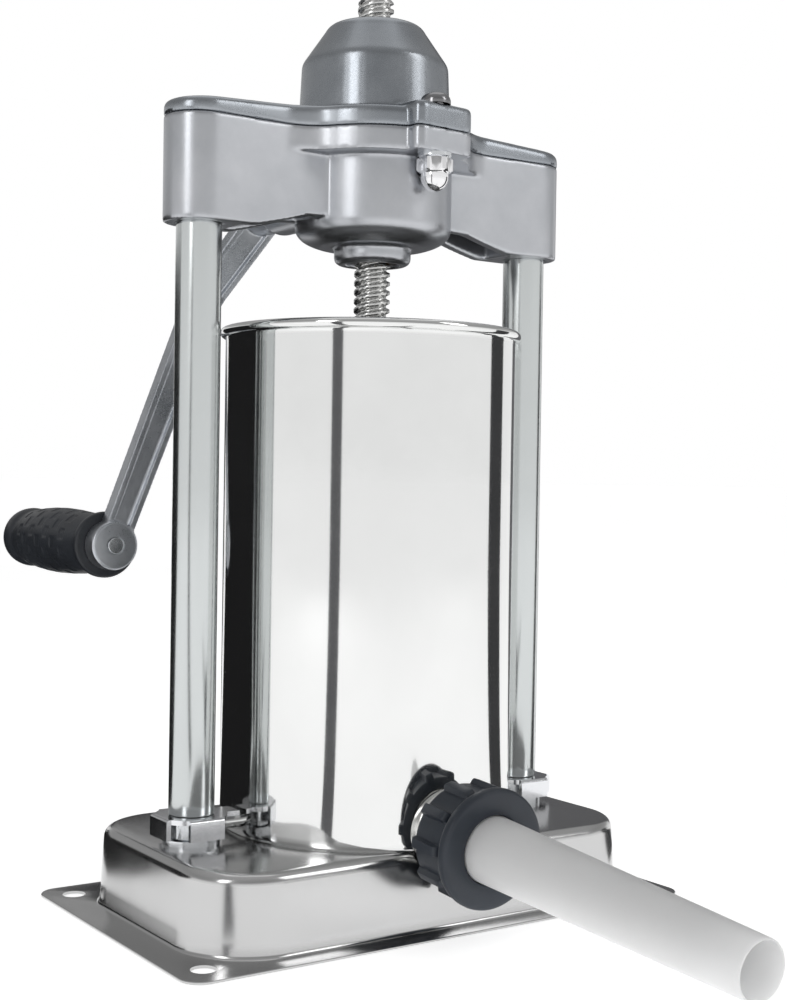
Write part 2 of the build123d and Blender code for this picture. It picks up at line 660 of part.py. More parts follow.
with BuildPart() as acorn_nuts:
    with BuildSketch(Plane.XY.offset(ACORN_TOP - ACORN_HEX_H)):
        with Locations(*ear_spots()):
            RegularPolygon(hex_radius(ACORN_AF), 6)
    extrude(amount=ACORN_HEX_H)
    dome_bottom = ACORN_TOP - ACORN_H + ACORN_DOME_R
    with BuildSketch(Plane.XY.offset(dome_bottom)):
        with Locations(*ear_spots()):
            Circle(ACORN_DOME_R)
    extrude(amount=ACORN_TOP - ACORN_HEX_H - dome_bottom)
    with Locations(*[(x, y, dome_bottom) for x, y in ear_spots()]):
        Sphere(ACORN_DOME_R)
    with BuildSketch(Plane.XY.offset(EAR_SCREW_END - 1)):
        with Locations(*ear_spots()):
            Circle(4)
    extrude(amount=ACORN_TOP - EAR_SCREW_END + 1, mode=Mode.SUBTRACT)
save(acorn_nuts, "acorn_nuts")

with BuildPart() as column_top_screws:
    with BuildSketch(Plane.XY.offset(TOP_SCREW_SEAT)):
        with GridLocations(2 * COLUMN_X, 0, 2, 1):
            RegularPolygon(hex_radius(17), 6)
    extrude(amount=6.4)
    with BuildSketch(Plane.XY.offset(COLUMN_TOP - 20)):
        with GridLocations(2 * COLUMN_X, 0, 2, 1):
            Circle(TOP_SCREW_R)
    extrude(amount=TOP_SCREW_SEAT - COLUMN_TOP + 20)
save(column_top_screws, "column_top_screws")


# ---------------------------------------------------------------- drive inside the head
def ring(outer_r, inner_r, bottom, height):
    """A plain ring round the screw's axis."""
    with BuildPart() as body:
        with BuildSketch(Plane.XY.offset(bottom)):
            Circle(outer_r)
            Circle(inner_r, mode=Mode.SUBTRACT)
        extrude(amount=height)
    return body


THRUST_T = 1.5
NUT_COLLAR_BOTTOM = CAVITY_FLOOR + THRUST_T + 0.3
save(ring(BUSH_R, JOURNAL_R + RUNNING_GAP, BUSH_BOTTOM, CAVITY_FLOOR - BUSH_BOTTOM), "lower_bush")
save(ring(19, JOURNAL_R + 0.2, CAVITY_FLOOR, THRUST_T), "lower_thrust_washer")

KEY_W = 3.0
with BuildPart() as screw_nut:
    with BuildSketch(Plane.XY.offset(BUSH_BOTTOM + 1)):
        Circle(JOURNAL_R)
    extrude(amount=RACE_BOTTOM - BUSH_BOTTOM - 1)
    with BuildSketch(Plane.XY.offset(NUT_COLLAR_BOTTOM)):
        Circle(JOURNAL_R + 3)
    extrude(amount=2.5)
    with BuildSketch(Plane.XY.offset(BUSH_BOTTOM)):
        Circle(NUT_BORE_R)
    extrude(amount=RACE_BOTTOM - BUSH_BOTTOM, mode=Mode.SUBTRACT)
    with BuildSketch(Plane.XY.offset(SHAFT_Z + 12)):
        with Locations((-JOURNAL_R, 0)):
            Rectangle(KEY_W, KEY_W)
    extrude(amount=RACE_BOTTOM - SHAFT_Z - 12, mode=Mode.SUBTRACT)
save(screw_nut, "screw_nut")


def bevel_teeth(apex_plane, teeth, cone, phase):
    """Straight bevel teeth on the pitch cone whose point is the plane's origin."""
    outer = hypot(PINION_TEETH, WHEEL_TEETH) * MODULE / 2
    inner = outer - GEAR_FACE
    along = Vector(sin(cone), 0, cos(cone))
    with BuildPart() as one:
        for distance in (outer, inner):
            size = distance / outer
            with BuildSketch(Plane(origin=along * distance, x_dir=(0, -1, 0), z_dir=along)):
                with BuildLine():
                    Polyline(
                        (-1.35 * size, -(DEDENDUM + 0.5) * size),
                        (1.35 * size, -(DEDENDUM + 0.5) * size),
                        (0.55 * size, ADDENDUM * size),
                        (-0.55 * size, ADDENDUM * size),
                        close=True,
                    )
                make_face()
        loft()
    with BuildPart() as all_teeth:
        with Locations(apex_plane.location):
            with PolarLocations(0, teeth, start_angle=phase):
                add(one.part)
    return all_teeth.part


APEX = Plane(origin=(0, 0, SHAFT_Z), x_dir=(1, 0, 0), z_dir=(0, 0, 1))
PINION_AXIS = Plane(origin=(0, 0, SHAFT_Z), x_dir=(0, 0, 1), z_dir=(0, 1, 0))
PINION_CONE = atan(PINION_TEETH / WHEEL_TEETH)
WHEEL_CONE = pi / 2 - PINION_CONE

with BuildPart() as drive_gear:
    with BuildSketch(Plane.XZ):
        with BuildLine():
            Polyline(
                (JOURNAL_R, SHAFT_Z + 9.6),
                (15.1, SHAFT_Z + 9.6),
                (22.9, SHAFT_Z + 14.1),
                (24.6, SHAFT_Z + 16.5),
                (22.0, SHAFT_Z + 19.5),
                (15.5, SHAFT_Z + 20.5),
                (15.5, RACE_BOTTOM),
                (JOURNAL_R, RACE_BOTTOM),
                close=True,
            )
        make_face()
    revolve(axis=Axis.Z)
    add(bevel_teeth(APEX, WHEEL_TEETH, WHEEL_CONE, 90 + 180 / WHEEL_TEETH))
    with BuildSketch(Plane.XY.offset(SHAFT_Z + 12)):
        with Locations((-JOURNAL_R, 0)):
            Rectangle(KEY_W, KEY_W)
    extrude(amount=RACE_BOTTOM - SHAFT_Z - 12, mode=Mode.SUBTRACT)
save(drive_gear, "drive_gear")

with BuildPart() as gear_key:
    with BuildSketch(Plane.XY.offset(SHAFT_Z + 12)):
        with Locations((-JOURNAL_R, 0)):
            Rectangle(KEY_W, KEY_W)
    extrude(amount=RACE_BOTTOM - SHAFT_Z - 12)
save(gear_key, "gear_key")

with BuildPart() as pinion_gear:
    with BuildSketch(Plane.YZ):
        with BuildLine():
            Polyline(
                (16.7, SHAFT_Z + PINION_SEAT_R),
                (16.7, SHAFT_Z + 6.5),
                (25.1, SHAFT_Z + 9.85),
                (26.5, SHAFT_Z + 9.0),
                (PINION_END_Y, SHAFT_Z + 9.0),
                (PINION_END_Y, SHAFT_Z + PINION_SEAT_R),
                close=True,
            )
        make_face()
    revolve(axis=Axis((0, 0, SHAFT_Z), (0, 1, 0)))
    add(bevel_teeth(PINION_AXIS, PINION_TEETH, PINION_CONE, 0))
    with BuildSketch(Plane.XY.offset(SHAFT_Z)):
        with Locations((0, 30)):
            Circle(1.5)
    extrude(amount=12, both=True, mode=Mode.SUBTRACT)
save(pinion_gear, "pinion_gear")

with BuildPart() as pinion_pin:
    with BuildSketch(Plane.XY.offset(SHAFT_Z)):
        with Locations((0, 30)):
            Circle(1.5)
    extrude(amount=8.8, both=True)
save(pinion_pin, "pinion_pin")


# ---------------------------------------------------------------- thrust bearing
def race(bottom, groove_z):
    """A bearing race with a groove for the balls."""
    with BuildPart() as body:
        with BuildSketch(Plane.XY.offset(bottom)):
            Circle(RACE_OUT_R - 0.1)
            Circle(RACE_IN_R, mode=Mode.SUBTRACT)
        extrude(amount=RACE_T)
        with BuildSketch(Plane.XZ):
            with Locations((BALL_CIRCLE_R, groove_z)):
                Circle(BALL_R + 0.15)
        revolve(axis=Axis.Z, mode=Mode.SUBTRACT)
    return body


BALL_Z = RACE_BOTTOM + RACE_T + BALL_GAP / 2
save(race(RACE_BOTTOM, BALL_Z), "thrust_race_lower")
save(race(RACE_BOTTOM + RACE_T + BALL_GAP, BALL_Z), "thrust_race_upper")

with BuildPart() as thrust_balls:
    with Locations((0, 0, BALL_Z)):
        with PolarLocations(BALL_CIRCLE_R, BALL_COUNT):
            Sphere(BALL_R)
save(thrust_balls, "thrust_balls")

with BuildPart() as ball_cage:
    with BuildSketch(Plane.XY.offset(BALL_Z - 0.8)):
        Circle(RACE_OUT_R - 0.6)
        Circle(RACE_IN_R + 0.4, mode=Mode.SUBTRACT)
        with PolarLocations(BALL_CIRCLE_R, BALL_COUNT):
            Circle(BALL_R, mode=Mode.SUBTRACT)
    extrude(amount=1.6)
save(ball_cage, "ball_cage")

# ---------------------------------------------------------------- crank
with BuildPart() as crank_shaft:
    with BuildSketch(shaft_plane(SHAFT_INNER_Y)):
        Circle(PINION_SEAT_R)
    extrude(amount=SHAFT_STEP_Y - SHAFT_INNER_Y)
    with BuildSketch(shaft_plane(PINION_END_Y)):
        Circle(SHAFT_R)
    extrude(amount=HUB_Y0 - PINION_END_Y)
    with BuildSketch(shaft_plane(HUB_Y0)):
        Circle(SHAFT_R)
        with Locations((0, SHAFT_R)):
            Rectangle(2 * SHAFT_R, 3, mode=Mode.SUBTRACT)
    extrude(amount=HUB_Y1 - HUB_Y0)
    with BuildSketch(shaft_plane(HUB_Y1 - 14)):
        Circle(2.5)
    extrude(amount=14, mode=Mode.SUBTRACT)
    with BuildSketch(Plane.XY.offset(SHAFT_Z)):
        with Locations((0, 30)):
            Circle(1.5)
    extrude(amount=12, both=True, mode=Mode.SUBTRACT)
save(crank_shaft, "crank_shaft")

with BuildPart() as crank_bush:
    with BuildSketch(shaft_plane(SHAFT_STEP_Y + 2)):
        Circle(SHAFT_R + 2)
        Circle(SHAFT_R + RUNNING_GAP, mode=Mode.SUBTRACT)
    extrude(amount=REAR_BOSS_END - SHAFT_STEP_Y - 2)
save(crank_bush, "crank_bush")

ARM_HUB_W, ARM_TIP_W = 18.0, 14.6
BEND_END = 44.0                   # the arm slants outwards from the hub up to here
BEND_R = 22.0
arm_side = Plane(origin=(0, 0, SHAFT_Z), x_dir=ARM_DIR, z_dir=(cos(lean), 0, -sin(lean)))
arm_front = Plane(origin=(0, 0, SHAFT_Z), x_dir=ARM_DIR, z_dir=(0, 1, 0))


def arm_profile(thickness):
    """The cranked arm seen from its edge: distance along it against y, this thick."""
    with BuildSketch() as profile:
        with BuildLine():
            FilletPolyline((0, ARM_MID_Y), (BEND_END, ARM_FAR_Y), (ARM_LENGTH, ARM_FAR_Y), radius=BEND_R)
        trace(line_width=thickness)
    return profile.sketch


def arm_outline(inset):
    """The arm seen along the crank shaft, narrowing to the handle, this far inside its edge."""
    with BuildSketch() as outline:
        with BuildLine():
            Polyline(
                (0, -ARM_HUB_W / 2 + inset),
                (ARM_LENGTH, -ARM_TIP_W / 2 + inset),
                (ARM_LENGTH, ARM_TIP_W / 2 - inset),
                (0, ARM_HUB_W / 2 - inset),
                close=True,
            )
        make_face()
    return outline.sketch


with BuildPart() as arm_bar:
    with BuildSketch(arm_side):
        add(arm_profile(ARM_T))
    extrude(amount=ARM_HUB_W, both=True)
    with BuildSketch(arm_front):
        add(arm_outline(0))
    extrude(amount=2 * ARM_FAR_Y, mode=Mode.INTERSECT)

with BuildPart() as arm_pockets:
    with BuildSketch(arm_front):
        add(arm_outline(ARM_BEAD))
    extrude(amount=2 * ARM_FAR_Y)
    with BuildSketch(arm_side):
        add(arm_profile(ARM_WEB_T))
    extrude(amount=ARM_HUB_W, both=True, mode=Mode.SUBTRACT)

with BuildPart() as crank_arm:
    add(arm_bar.part)
    add(arm_pockets.part, mode=Mode.SUBTRACT)
    with BuildSketch(shaft_plane(HUB_Y0)):
        Circle(HUB_R)
    extrude(amount=HUB_Y1 - HUB_Y0)
    with BuildSketch(handle_plane(BOSS_Y0)):
        Circle(BOSS_R)
    extrude(amount=BOSS_T)
    rims = crank_arm.edges().filter_by(GeomType.CIRCLE)
    fillet(rims.filter_by(lambda e: abs(e.radius - HUB_R) < 0.01).sort_by(Axis.Y)[-1], 1.5)
    fillet(rims.filter_by(lambda e: abs(e.radius - BOSS_R) < 0.01).sort_by(Axis.Y)[0], 1.2)
    with BuildSketch(shaft_plane(HUB_Y0)):
        Circle(SHAFT_R)
        with Locations((0, SHAFT_R)):
            Rectangle(2 * SHAFT_R, 3, mode=Mode.SUBTRACT)
    extrude(amount=HUB_Y1 - HUB_Y0, mode=Mode.SUBTRACT)
    with BuildSketch(handle_plane(BOSS_Y0)):
        Circle(SPINDLE_R)
    extrude(amount=BOSS_T, mode=Mode.SUBTRACT)
    # flat seat for the washer and the screw
    with BuildSketch(shaft_plane(HUB_Y1)):
        Circle(HUB_R - 1.5)
    extrude(amount=ARM_OFFSET, mode=Mode.SUBTRACT)
save(crank_arm, "crank_arm")

with BuildPart() as crank_washer:
    with BuildSketch(shaft_plane(HUB_Y1)):
        Circle(9)
        Circle(2.5, mode=Mode.SUBTRACT)
    extrude(amount=1.6)
save(crank_washer, "crank_washer")

with BuildPart() as crank_screw:
    with BuildSketch(shaft_plane(HUB_Y1 - 13)):
        Circle(2.5)
    extrude(amount=14.6)
    with BuildSketch(shaft_plane(HUB_Y1 + 1.6)):
        Circle(4.75)
    extrude(amount=3)
    fillet(crank_screw.edges().filter_by(GeomType.CIRCLE).sort_by(Axis.Y)[-1], 1.6)
    with BuildSketch(shaft_plane(HUB_Y1 + 3.2)):
        Rectangle(5, 1)
        Rectangle(1, 5)
    extrude(amount=2, mode=Mode.SUBTRACT)
save(crank_screw, "crank_screw")

# ---------------------------------------------------------------- handle
GRIP_START = BOSS_Y1 + 0.6
GRIP_END = GRIP_START + 108.0
with BuildPart() as grip_spindle:
    with BuildSketch(handle_plane(BOSS_Y0 - 0.5)):
        Circle(SPINDLE_R)
    extrude(amount=GRIP_END - 8 - BOSS_Y0 + 0.5)
    fillet(grip_spindle.edges().filter_by(GeomType.CIRCLE).sort_by(Axis.Y)[0], 0.5)
    with BuildSketch(handle_plane(GRIP_END - 11)):
        Circle(SPINDLE_R + 2.2)
    extrude(amount=3)
save(grip_spindle, "grip_spindle")

GRIP_FLANGE_R, GRIP_NECK_R, GRIP_BELLY_R = 16.3, 13.8, 16.9
GRIP_GROOVE_R, GRIP_KNOB_R = 14.8, 15.7
GRIP_BELLY_AT, GRIP_GROOVE_AT = 52.0, 89.0
with BuildPart() as grip:
    with BuildSketch(Plane(origin=(HANDLE_X, 0, HANDLE_Z), x_dir=(0, 1, 0), z_dir=(1, 0, 0))):
        with BuildLine():
            Polyline((GRIP_START, SPINDLE_R + RUNNING_GAP), (GRIP_START, GRIP_FLANGE_R - 1), (GRIP_START + 1, GRIP_FLANGE_R))
            Polyline((GRIP_START + 1, GRIP_FLANGE_R), (GRIP_START + 4, GRIP_FLANGE_R), (GRIP_START + 5, GRIP_NECK_R))
            Spline(
                (GRIP_START + 5, GRIP_NECK_R),
                (GRIP_START + GRIP_BELLY_AT, GRIP_BELLY_R),
                (GRIP_START + GRIP_GROOVE_AT, GRIP_GROOVE_R),
            )
            Spline(
                (GRIP_START + GRIP_GROOVE_AT, GRIP_GROOVE_R),
                (GRIP_START + GRIP_GROOVE_AT + 4, GRIP_KNOB_R),
                (GRIP_END - 5, GRIP_KNOB_R - 1.2),
                (GRIP_END, 10.5),
            )
            Polyline(
                (GRIP_END, 10.5),
                (GRIP_END, SPINDLE_R + 3),
                (GRIP_END - 11.5, SPINDLE_R + 3),
                (GRIP_END - 11.5, SPINDLE_R + RUNNING_GAP),
                (GRIP_START, SPINDLE_R + RUNNING_GAP),
            )
        make_face()
    revolve(axis=Axis((HANDLE_X, 0, HANDLE_Z), (0, 1, 0)))
save(grip, "grip")

with BuildPart() as grip_cap:
    with BuildSketch(handle_plane(GRIP_END - 6)):
        Circle(SPINDLE_R + 3)
    extrude(amount=7)
    fillet(grip_cap.edges().filter_by(GeomType.CIRCLE).sort_by(Axis.Y)[-1], 1)
save(grip_cap, "grip_cap")

# ---------------------------------------------------------------- screw and piston
PISTON_STUD_R = 5.0
RECESS_TOP = 46.0
with BuildPart() as lead_screw:
    with BuildSketch(Plane.XY.offset(PISTON_HUB_TOP)):
        Circle(SCREW_R)
    extrude(amount=SCREW_TOP - PISTON_HUB_TOP)
    chamfer(lead_screw.edges().filter_by(GeomType.CIRCLE).sort_by(Axis.Z)[-1], 1.2)
    with BuildSketch(Plane.XY.offset(PISTON_BOTTOM + 0.5)):
        Circle(PISTON_STUD_R)
    extrude(amount=PISTON_HUB_TOP - PISTON_BOTTOM - 0.5)
save(lead_screw, "lead_screw")

SEAL_BOTTOM, SEAL_TOP = 41.0, 47.0
SEAL_IN_R = 58.5
VALVE_R = 3.0
with BuildPart() as piston_disc:
    with BuildSketch(Plane.XY.offset(PISTON_BOTTOM)):
        Circle(PISTON_R)
    extrude(amount=PISTON_TOP - PISTON_BOTTOM)
    fillet(piston_disc.edges().filter_by(GeomType.CIRCLE), 1.2)
    with BuildSketch(Plane.XY.offset(PISTON_TOP)):
        Circle(14)
    extrude(amount=PISTON_HUB_TOP - PISTON_TOP)
    with BuildSketch(Plane.XY.offset(SEAL_BOTTOM)):
        Circle(PISTON_R + 1)
        Circle(SEAL_IN_R, mode=Mode.SUBTRACT)
    extrude(amount=SEAL_TOP - SEAL_BOTTOM, mode=Mode.SUBTRACT)
    with BuildSketch(Plane.XY.offset(PISTON_BOTTOM)):
        Circle(12)
        with Locations((VALVE_X, 0)):
            Circle(6.5)
    extrude(amount=RECESS_TOP - PISTON_BOTTOM, mode=Mode.SUBTRACT)
    with BuildSketch(Plane.XY.offset(PISTON_BOTTOM)):
        Circle(PISTON_STUD_R)
        with Locations((VALVE_X, 0)):
            Circle(VALVE_R + RUNNING_GAP)
    extrude(amount=PISTON_HUB_TOP - PISTON_BOTTOM, mode=Mode.SUBTRACT)
save(piston_disc, "piston_disc")

save(ring(SEAL_R, SEAL_IN_R, SEAL_BOTTOM, SEAL_TOP - SEAL_BOTTOM), "piston_seal")
save(ring(10, PISTON_STUD_R, RECESS_TOP - 1.5, 1.5), "piston_washer")

with BuildPart() as piston_nut:
    with BuildSketch(Plane.XY.offset(PISTON_BOTTOM + 0.5)):
        RegularPolygon(hex_radius(17), 6)
        Circle(PISTON_STUD_R, mode=Mode.SUBTRACT)
    extrude(amount=6)
save(piston_nut, "piston_nut")

VALVE_SEAL_T = 1.5
with BuildPart() as air_valve_stem:
    with BuildSketch(Plane.XY.offset(PISTON_TOP + VALVE_SEAL_T)):
        with Locations((VALVE_X, 0)):
            Circle(7)
    extrude(amount=2.5)
    with BuildSketch(Plane.XY.offset(PISTON_BOTTOM + 1.5)):
        with Locations((VALVE_X, 0)):
            Circle(VALVE_R)
    extrude(amount=PISTON_TOP + VALVE_SEAL_T - PISTON_BOTTOM - 1.5)
    with BuildSketch(Plane.XY.offset(RECESS_TOP - 4.5)):
        with Locations((VALVE_X, 0)):
            Circle(5)
    extrude(amount=1.2)
save(air_valve_stem, "air_valve_stem")

with BuildPart() as air_valve_seal:
    with BuildSketch(Plane.XY.offset(PISTON_TOP)):
        with Locations((VALVE_X, 0)):
            Circle(6)
            Circle(VALVE_R, mode=Mode.SUBTRACT)
    extrude(amount=VALVE_SEAL_T)
save(air_valve_seal, "air_valve_seal")
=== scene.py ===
"""Sausage stuffer: looks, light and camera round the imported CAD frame."""
import bpy
import bmesh
import json
from math import ceil, cos, pi, radians, sin, tan
from mathutils import Matrix, Vector


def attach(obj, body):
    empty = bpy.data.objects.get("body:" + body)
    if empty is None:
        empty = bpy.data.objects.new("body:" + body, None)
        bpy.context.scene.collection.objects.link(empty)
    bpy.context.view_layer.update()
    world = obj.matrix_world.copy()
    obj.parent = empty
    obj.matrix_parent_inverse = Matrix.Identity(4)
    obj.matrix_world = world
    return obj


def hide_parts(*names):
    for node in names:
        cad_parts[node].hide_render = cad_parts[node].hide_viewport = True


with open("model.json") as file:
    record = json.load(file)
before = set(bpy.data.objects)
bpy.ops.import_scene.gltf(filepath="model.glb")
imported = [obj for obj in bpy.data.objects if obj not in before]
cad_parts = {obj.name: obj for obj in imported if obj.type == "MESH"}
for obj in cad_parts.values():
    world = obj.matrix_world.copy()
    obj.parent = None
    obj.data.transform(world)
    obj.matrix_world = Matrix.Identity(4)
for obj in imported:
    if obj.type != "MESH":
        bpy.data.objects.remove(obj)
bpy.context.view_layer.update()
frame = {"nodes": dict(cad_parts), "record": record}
nodes = frame["nodes"]
MM = 0.001


# ------------------------------------------------------------------ node helpers
class Look:
    """A node material under construction: noise fields feed the shader's sockets."""

    def __init__(self, name):
        self.material = bpy.data.materials.new(name)
        self.material.use_nodes = True
        self.tree = self.material.node_tree
        self.tree.nodes.clear()
        self.out = self.add("ShaderNodeOutputMaterial")
        self.bsdf = self.add("ShaderNodeBsdfPrincipled")
        self.link(self.bsdf.outputs[0], self.out.inputs["Surface"])
        self.coords = self.add("ShaderNodeTexCoord")

    def add(self, kind, **settings):
        node = self.tree.nodes.new(kind)
        for key, value in settings.items():
            setattr(node, key, value)
        return node

    def link(self, source, target):
        self.tree.links.new(source, target)

    def set(self, **sockets):
        for key, value in sockets.items():
            self.bsdf.inputs[key.replace("_", " ")].default_value = value
        return self

    def stretched(self, scale):
        """Object coordinates, scaled per axis, in metres."""
        mapping = self.add("ShaderNodeMapping")
        mapping.inputs["Scale"].default_value = scale
        self.link(self.coords.outputs["Object"], mapping.inputs["Vector"])
        return mapping.outputs[0]

    def noise(self, scale, detail=3.0, roughness=0.55, stretch=(1, 1, 1)):
        node = self.add("ShaderNodeTexNoise")
        node.inputs["Scale"].default_value = scale
        node.inputs["Detail"].default_value = detail
        node.inputs["Roughness"].default_value = roughness
        self.link(self.stretched(stretch), node.inputs["Vector"])
        return node.outputs["Fac"]

    def cells(self, scale):
        """The distance to the nearest of many scattered points."""
        node = self.add("ShaderNodeTexVoronoi", feature="F1")
        node.inputs["Scale"].default_value = scale
        self.link(self.stretched((1, 1, 1)), node.inputs["Vector"])
        return node.outputs["Distance"]

    def ramp(self, factor, *stops):
        """A colour ramp: stops are (position, colour)."""
        node = self.add("ShaderNodeValToRGB")
        ramp = node.color_ramp
        while len(ramp.elements) < len(stops):
            ramp.elements.new(0.5)
        for element, (position, value) in zip(ramp.elements, stops):
            element.position = position
            element.color = (*value, 1)
        self.link(factor, node.inputs[0])
        return node.outputs[0]

    def span(self, factor, low, high, from_low=0.3, from_high=0.7):
        """The factor, remapped from its useful middle to low..high."""
        node = self.add("ShaderNodeMapRange")
        node.inputs["From Min"].default_value = from_low
        node.inputs["From Max"].default_value = from_high
        node.inputs["To Min"].default_value = low
        node.inputs["To Max"].default_value = high
        self.link(factor, node.inputs["Value"])
        return node.outputs[0]

    def combine(self, operation, a, b):
        node = self.add("ShaderNodeMath", operation=operation)
        for socket, value in zip(node.inputs, (a, b)):
            if isinstance(value, (int, float)):
                socket.default_value = value
            else:
                self.link(value, socket)
        return node.outputs[0]

    def blend(self, a, share_a, b, share_b):
        """The weighted sum of two fields."""
        return self.combine("ADD", self.combine("MULTIPLY", a, share_a), self.combine("MULTIPLY", b, share_b))

    def color(self, source):
        self.link(source, self.bsdf.inputs["Base Color"])
        return self

    def rough(self, source):
        self.link(source, self.bsdf.inputs["Roughness"])
        return self

    def bump(self, height, distance, strength=1.0):
        node = self.add("ShaderNodeBump")
        node.inputs["Strength"].default_value = strength
        node.inputs["Distance"].default_value = distance
        self.link(height, node.inputs["Height"])
        self.link(node.outputs[0], self.bsdf.inputs["Normal"])
        return self


def polished_steel(name, tint, rough_low, rough_high, grain=(1, 1, 1), waviness=0.00001):
    """Polished sheet: fingermark-like roughness patches and very faint ripples."""
    look = Look(name).set(Metallic=1.0, IOR=2.5)
    patches = look.noise(22, 4, 0.6)
    fine = look.noise(900, 2, 0.5, stretch=grain)
    both = look.blend(patches, 0.7, fine, 0.3)
    look.color(look.ramp(patches, (0.3, tuple(c * 0.95 for c in tint)), (0.7, tint)))
    look.rough(look.span(both, rough_low, rough_high, 0.35, 0.65))
    look.bump(look.noise(30, 2, 0.5), waviness)
    return look.material


def cast_metal(name, dark, light, rough_low, rough_high, pits):
    """Tumbled casting: grainy skin and a cloudy tone."""
    look = Look(name).set(Metallic=1.0)
    clouds = look.noise(35, 5, 0.6)
    grain = look.noise(1500, 3, 0.6)
    cells = look.cells(1100)
    look.color(look.ramp(clouds, (0.3, dark), (0.72, light)))
    look.rough(look.span(look.blend(clouds, 0.5, grain, 0.5), rough_low, rough_high, 0.35, 0.65))
    look.bump(look.blend(grain, 0.6, cells, 0.4), pits, 0.35)
    return look.material


def machined_steel(name, tint, rough_low, rough_high, stretch=(1, 1, 60)):
    """Turned or rolled steel: fine circumferential lines and small stains."""
    look = Look(name).set(Metallic=1.0)
    lines = look.noise(120, 3, 0.6, stretch=stretch)
    stains = look.noise(60, 4, 0.6)
    look.color(look.ramp(stains, (0.3, tuple(c * 0.82 for c in tint)), (0.7, tint)))
    look.rough(look.span(lines, rough_low, rough_high))
    look.bump(lines, 0.00002, 0.4)
    return look.material


def moulded_plastic(name, dark, light, rough_low, rough_high, grain=0.00004):
    """Moulded plastic: fine spark-eroded grain and a cloudy tone."""
    look = Look(name).set(IOR=1.48)
    grains = look.noise(1300, 3, 0.6)
    clouds = look.noise(40, 4, 0.6)
    look.color(look.ramp(clouds, (0.3, dark), (0.75, light)))
    look.rough(look.span(look.blend(clouds, 0.5, grains, 0.5), rough_low, rough_high, 0.35, 0.65))
    look.bump(grains, grain, 0.3)
    return look.material


def tube_plastic():
    """Milky polyethylene: soft inner light, faint extrusion lines along the tube."""
    look = Look("tube_plastic").set(IOR=1.5, Transmission_Weight=0.1)
    look.set(Subsurface_Weight=0.85, Subsurface_Scale=0.006)
    look.bsdf.inputs["Subsurface Radius"].default_value = (1.0, 1.0, 1.0)
    lines = look.noise(300, 2, 0.5, stretch=(1, 0.03, 1))
    clouds = look.noise(25, 3, 0.5)
    look.color(look.ramp(clouds, (0.3, (0.90, 0.905, 0.91)), (0.7, (0.94, 0.943, 0.946))))
    look.rough(look.span(lines, 0.30, 0.42))
    look.bump(lines, 0.00003, 0.3)
    return look.material


def seal_rubber():
    """Smooth pale rubber with a fine grain."""
    look = Look("seal_rubber").set(IOR=1.42)
    grains = look.noise(900, 3, 0.6)
    look.color(look.ramp(look.noise(60, 3, 0.5), (0.3, (0.70, 0.69, 0.65)), (0.7, (0.80, 0.79, 0.75))))
    look.rough(look.span(grains, 0.5, 0.65))
    look.bump(grains, 0.00003, 0.4)
    return look.material


LOOKS = {
    "base_steel": polished_steel("base_steel", (0.58, 0.58, 0.58), 0.15, 0.24, grain=(1, 12, 1)),
    "cylinder_steel": polished_steel("cylinder_steel", (0.80, 0.805, 0.80), 0.05, 0.09, grain=(1, 1, 12)),
    "spout_steel": machined_steel("spout_steel", (0.78, 0.78, 0.76), 0.16, 0.28, stretch=(1, 60, 1)),
    "zinc_steel": polished_steel("zinc_steel", (0.74, 0.76, 0.78), 0.14, 0.26),
    "clip_steel": polished_steel("clip_steel", (0.78, 0.79, 0.81), 0.10, 0.2),
    "column_chrome": polished_steel("column_chrome", (0.60, 0.625, 0.625), 0.16, 0.24, grain=(1, 1, 20)),
    "nut_chrome": polished_steel("nut_chrome", (0.84, 0.84, 0.85), 0.05, 0.1),
    "head_casting": cast_metal("head_casting", (0.44, 0.455, 0.48), (0.54, 0.55, 0.575), 0.28, 0.37, 0.00003),
    "cover_casting": cast_metal("cover_casting", (0.29, 0.31, 0.335), (0.37, 0.39, 0.415), 0.24, 0.32, 0.00002),
    "arm_casting": cast_metal("arm_casting", (0.36, 0.38, 0.41), (0.60, 0.62, 0.65), 0.24, 0.36, 0.00005),
    "dark_steel": machined_steel("dark_steel", (0.34, 0.34, 0.35), 0.14, 0.26),
    "bronze": machined_steel("bronze", (0.55, 0.36, 0.16), 0.25, 0.4),
    "gear_steel": machined_steel("gear_steel", (0.36, 0.36, 0.37), 0.25, 0.4),
    "bearing_steel": machined_steel("bearing_steel", (0.72, 0.72, 0.73), 0.08, 0.15),
    "spindle_steel": machined_steel("spindle_steel", (0.58, 0.60, 0.62), 0.2, 0.32, stretch=(1, 1, 1)),
    "screw_steel": machined_steel("screw_steel", (0.66, 0.66, 0.65), 0.18, 0.3),
    "piston_steel": machined_steel("piston_steel", (0.7, 0.7, 0.7), 0.15, 0.3),
    "grip_plastic": moulded_plastic("grip_plastic", (0.012, 0.014, 0.018), (0.022, 0.026, 0.033), 0.32, 0.5),
    "nut_plastic": moulded_plastic("nut_plastic", (0.014, 0.019, 0.028), (0.024, 0.031, 0.043), 0.36, 0.5),
    "tube_plastic": tube_plastic(),
    "seal_rubber": seal_rubber(),
}
SLOT_OF = {sub["node"]: sub["material_slot"] for sub in frame["record"]["subparts"]}
BODY_OF = {}
for body, members in frame["record"]["behaviour"]["bodies"].items():
    for member in members:
        BODY_OF[member] = body


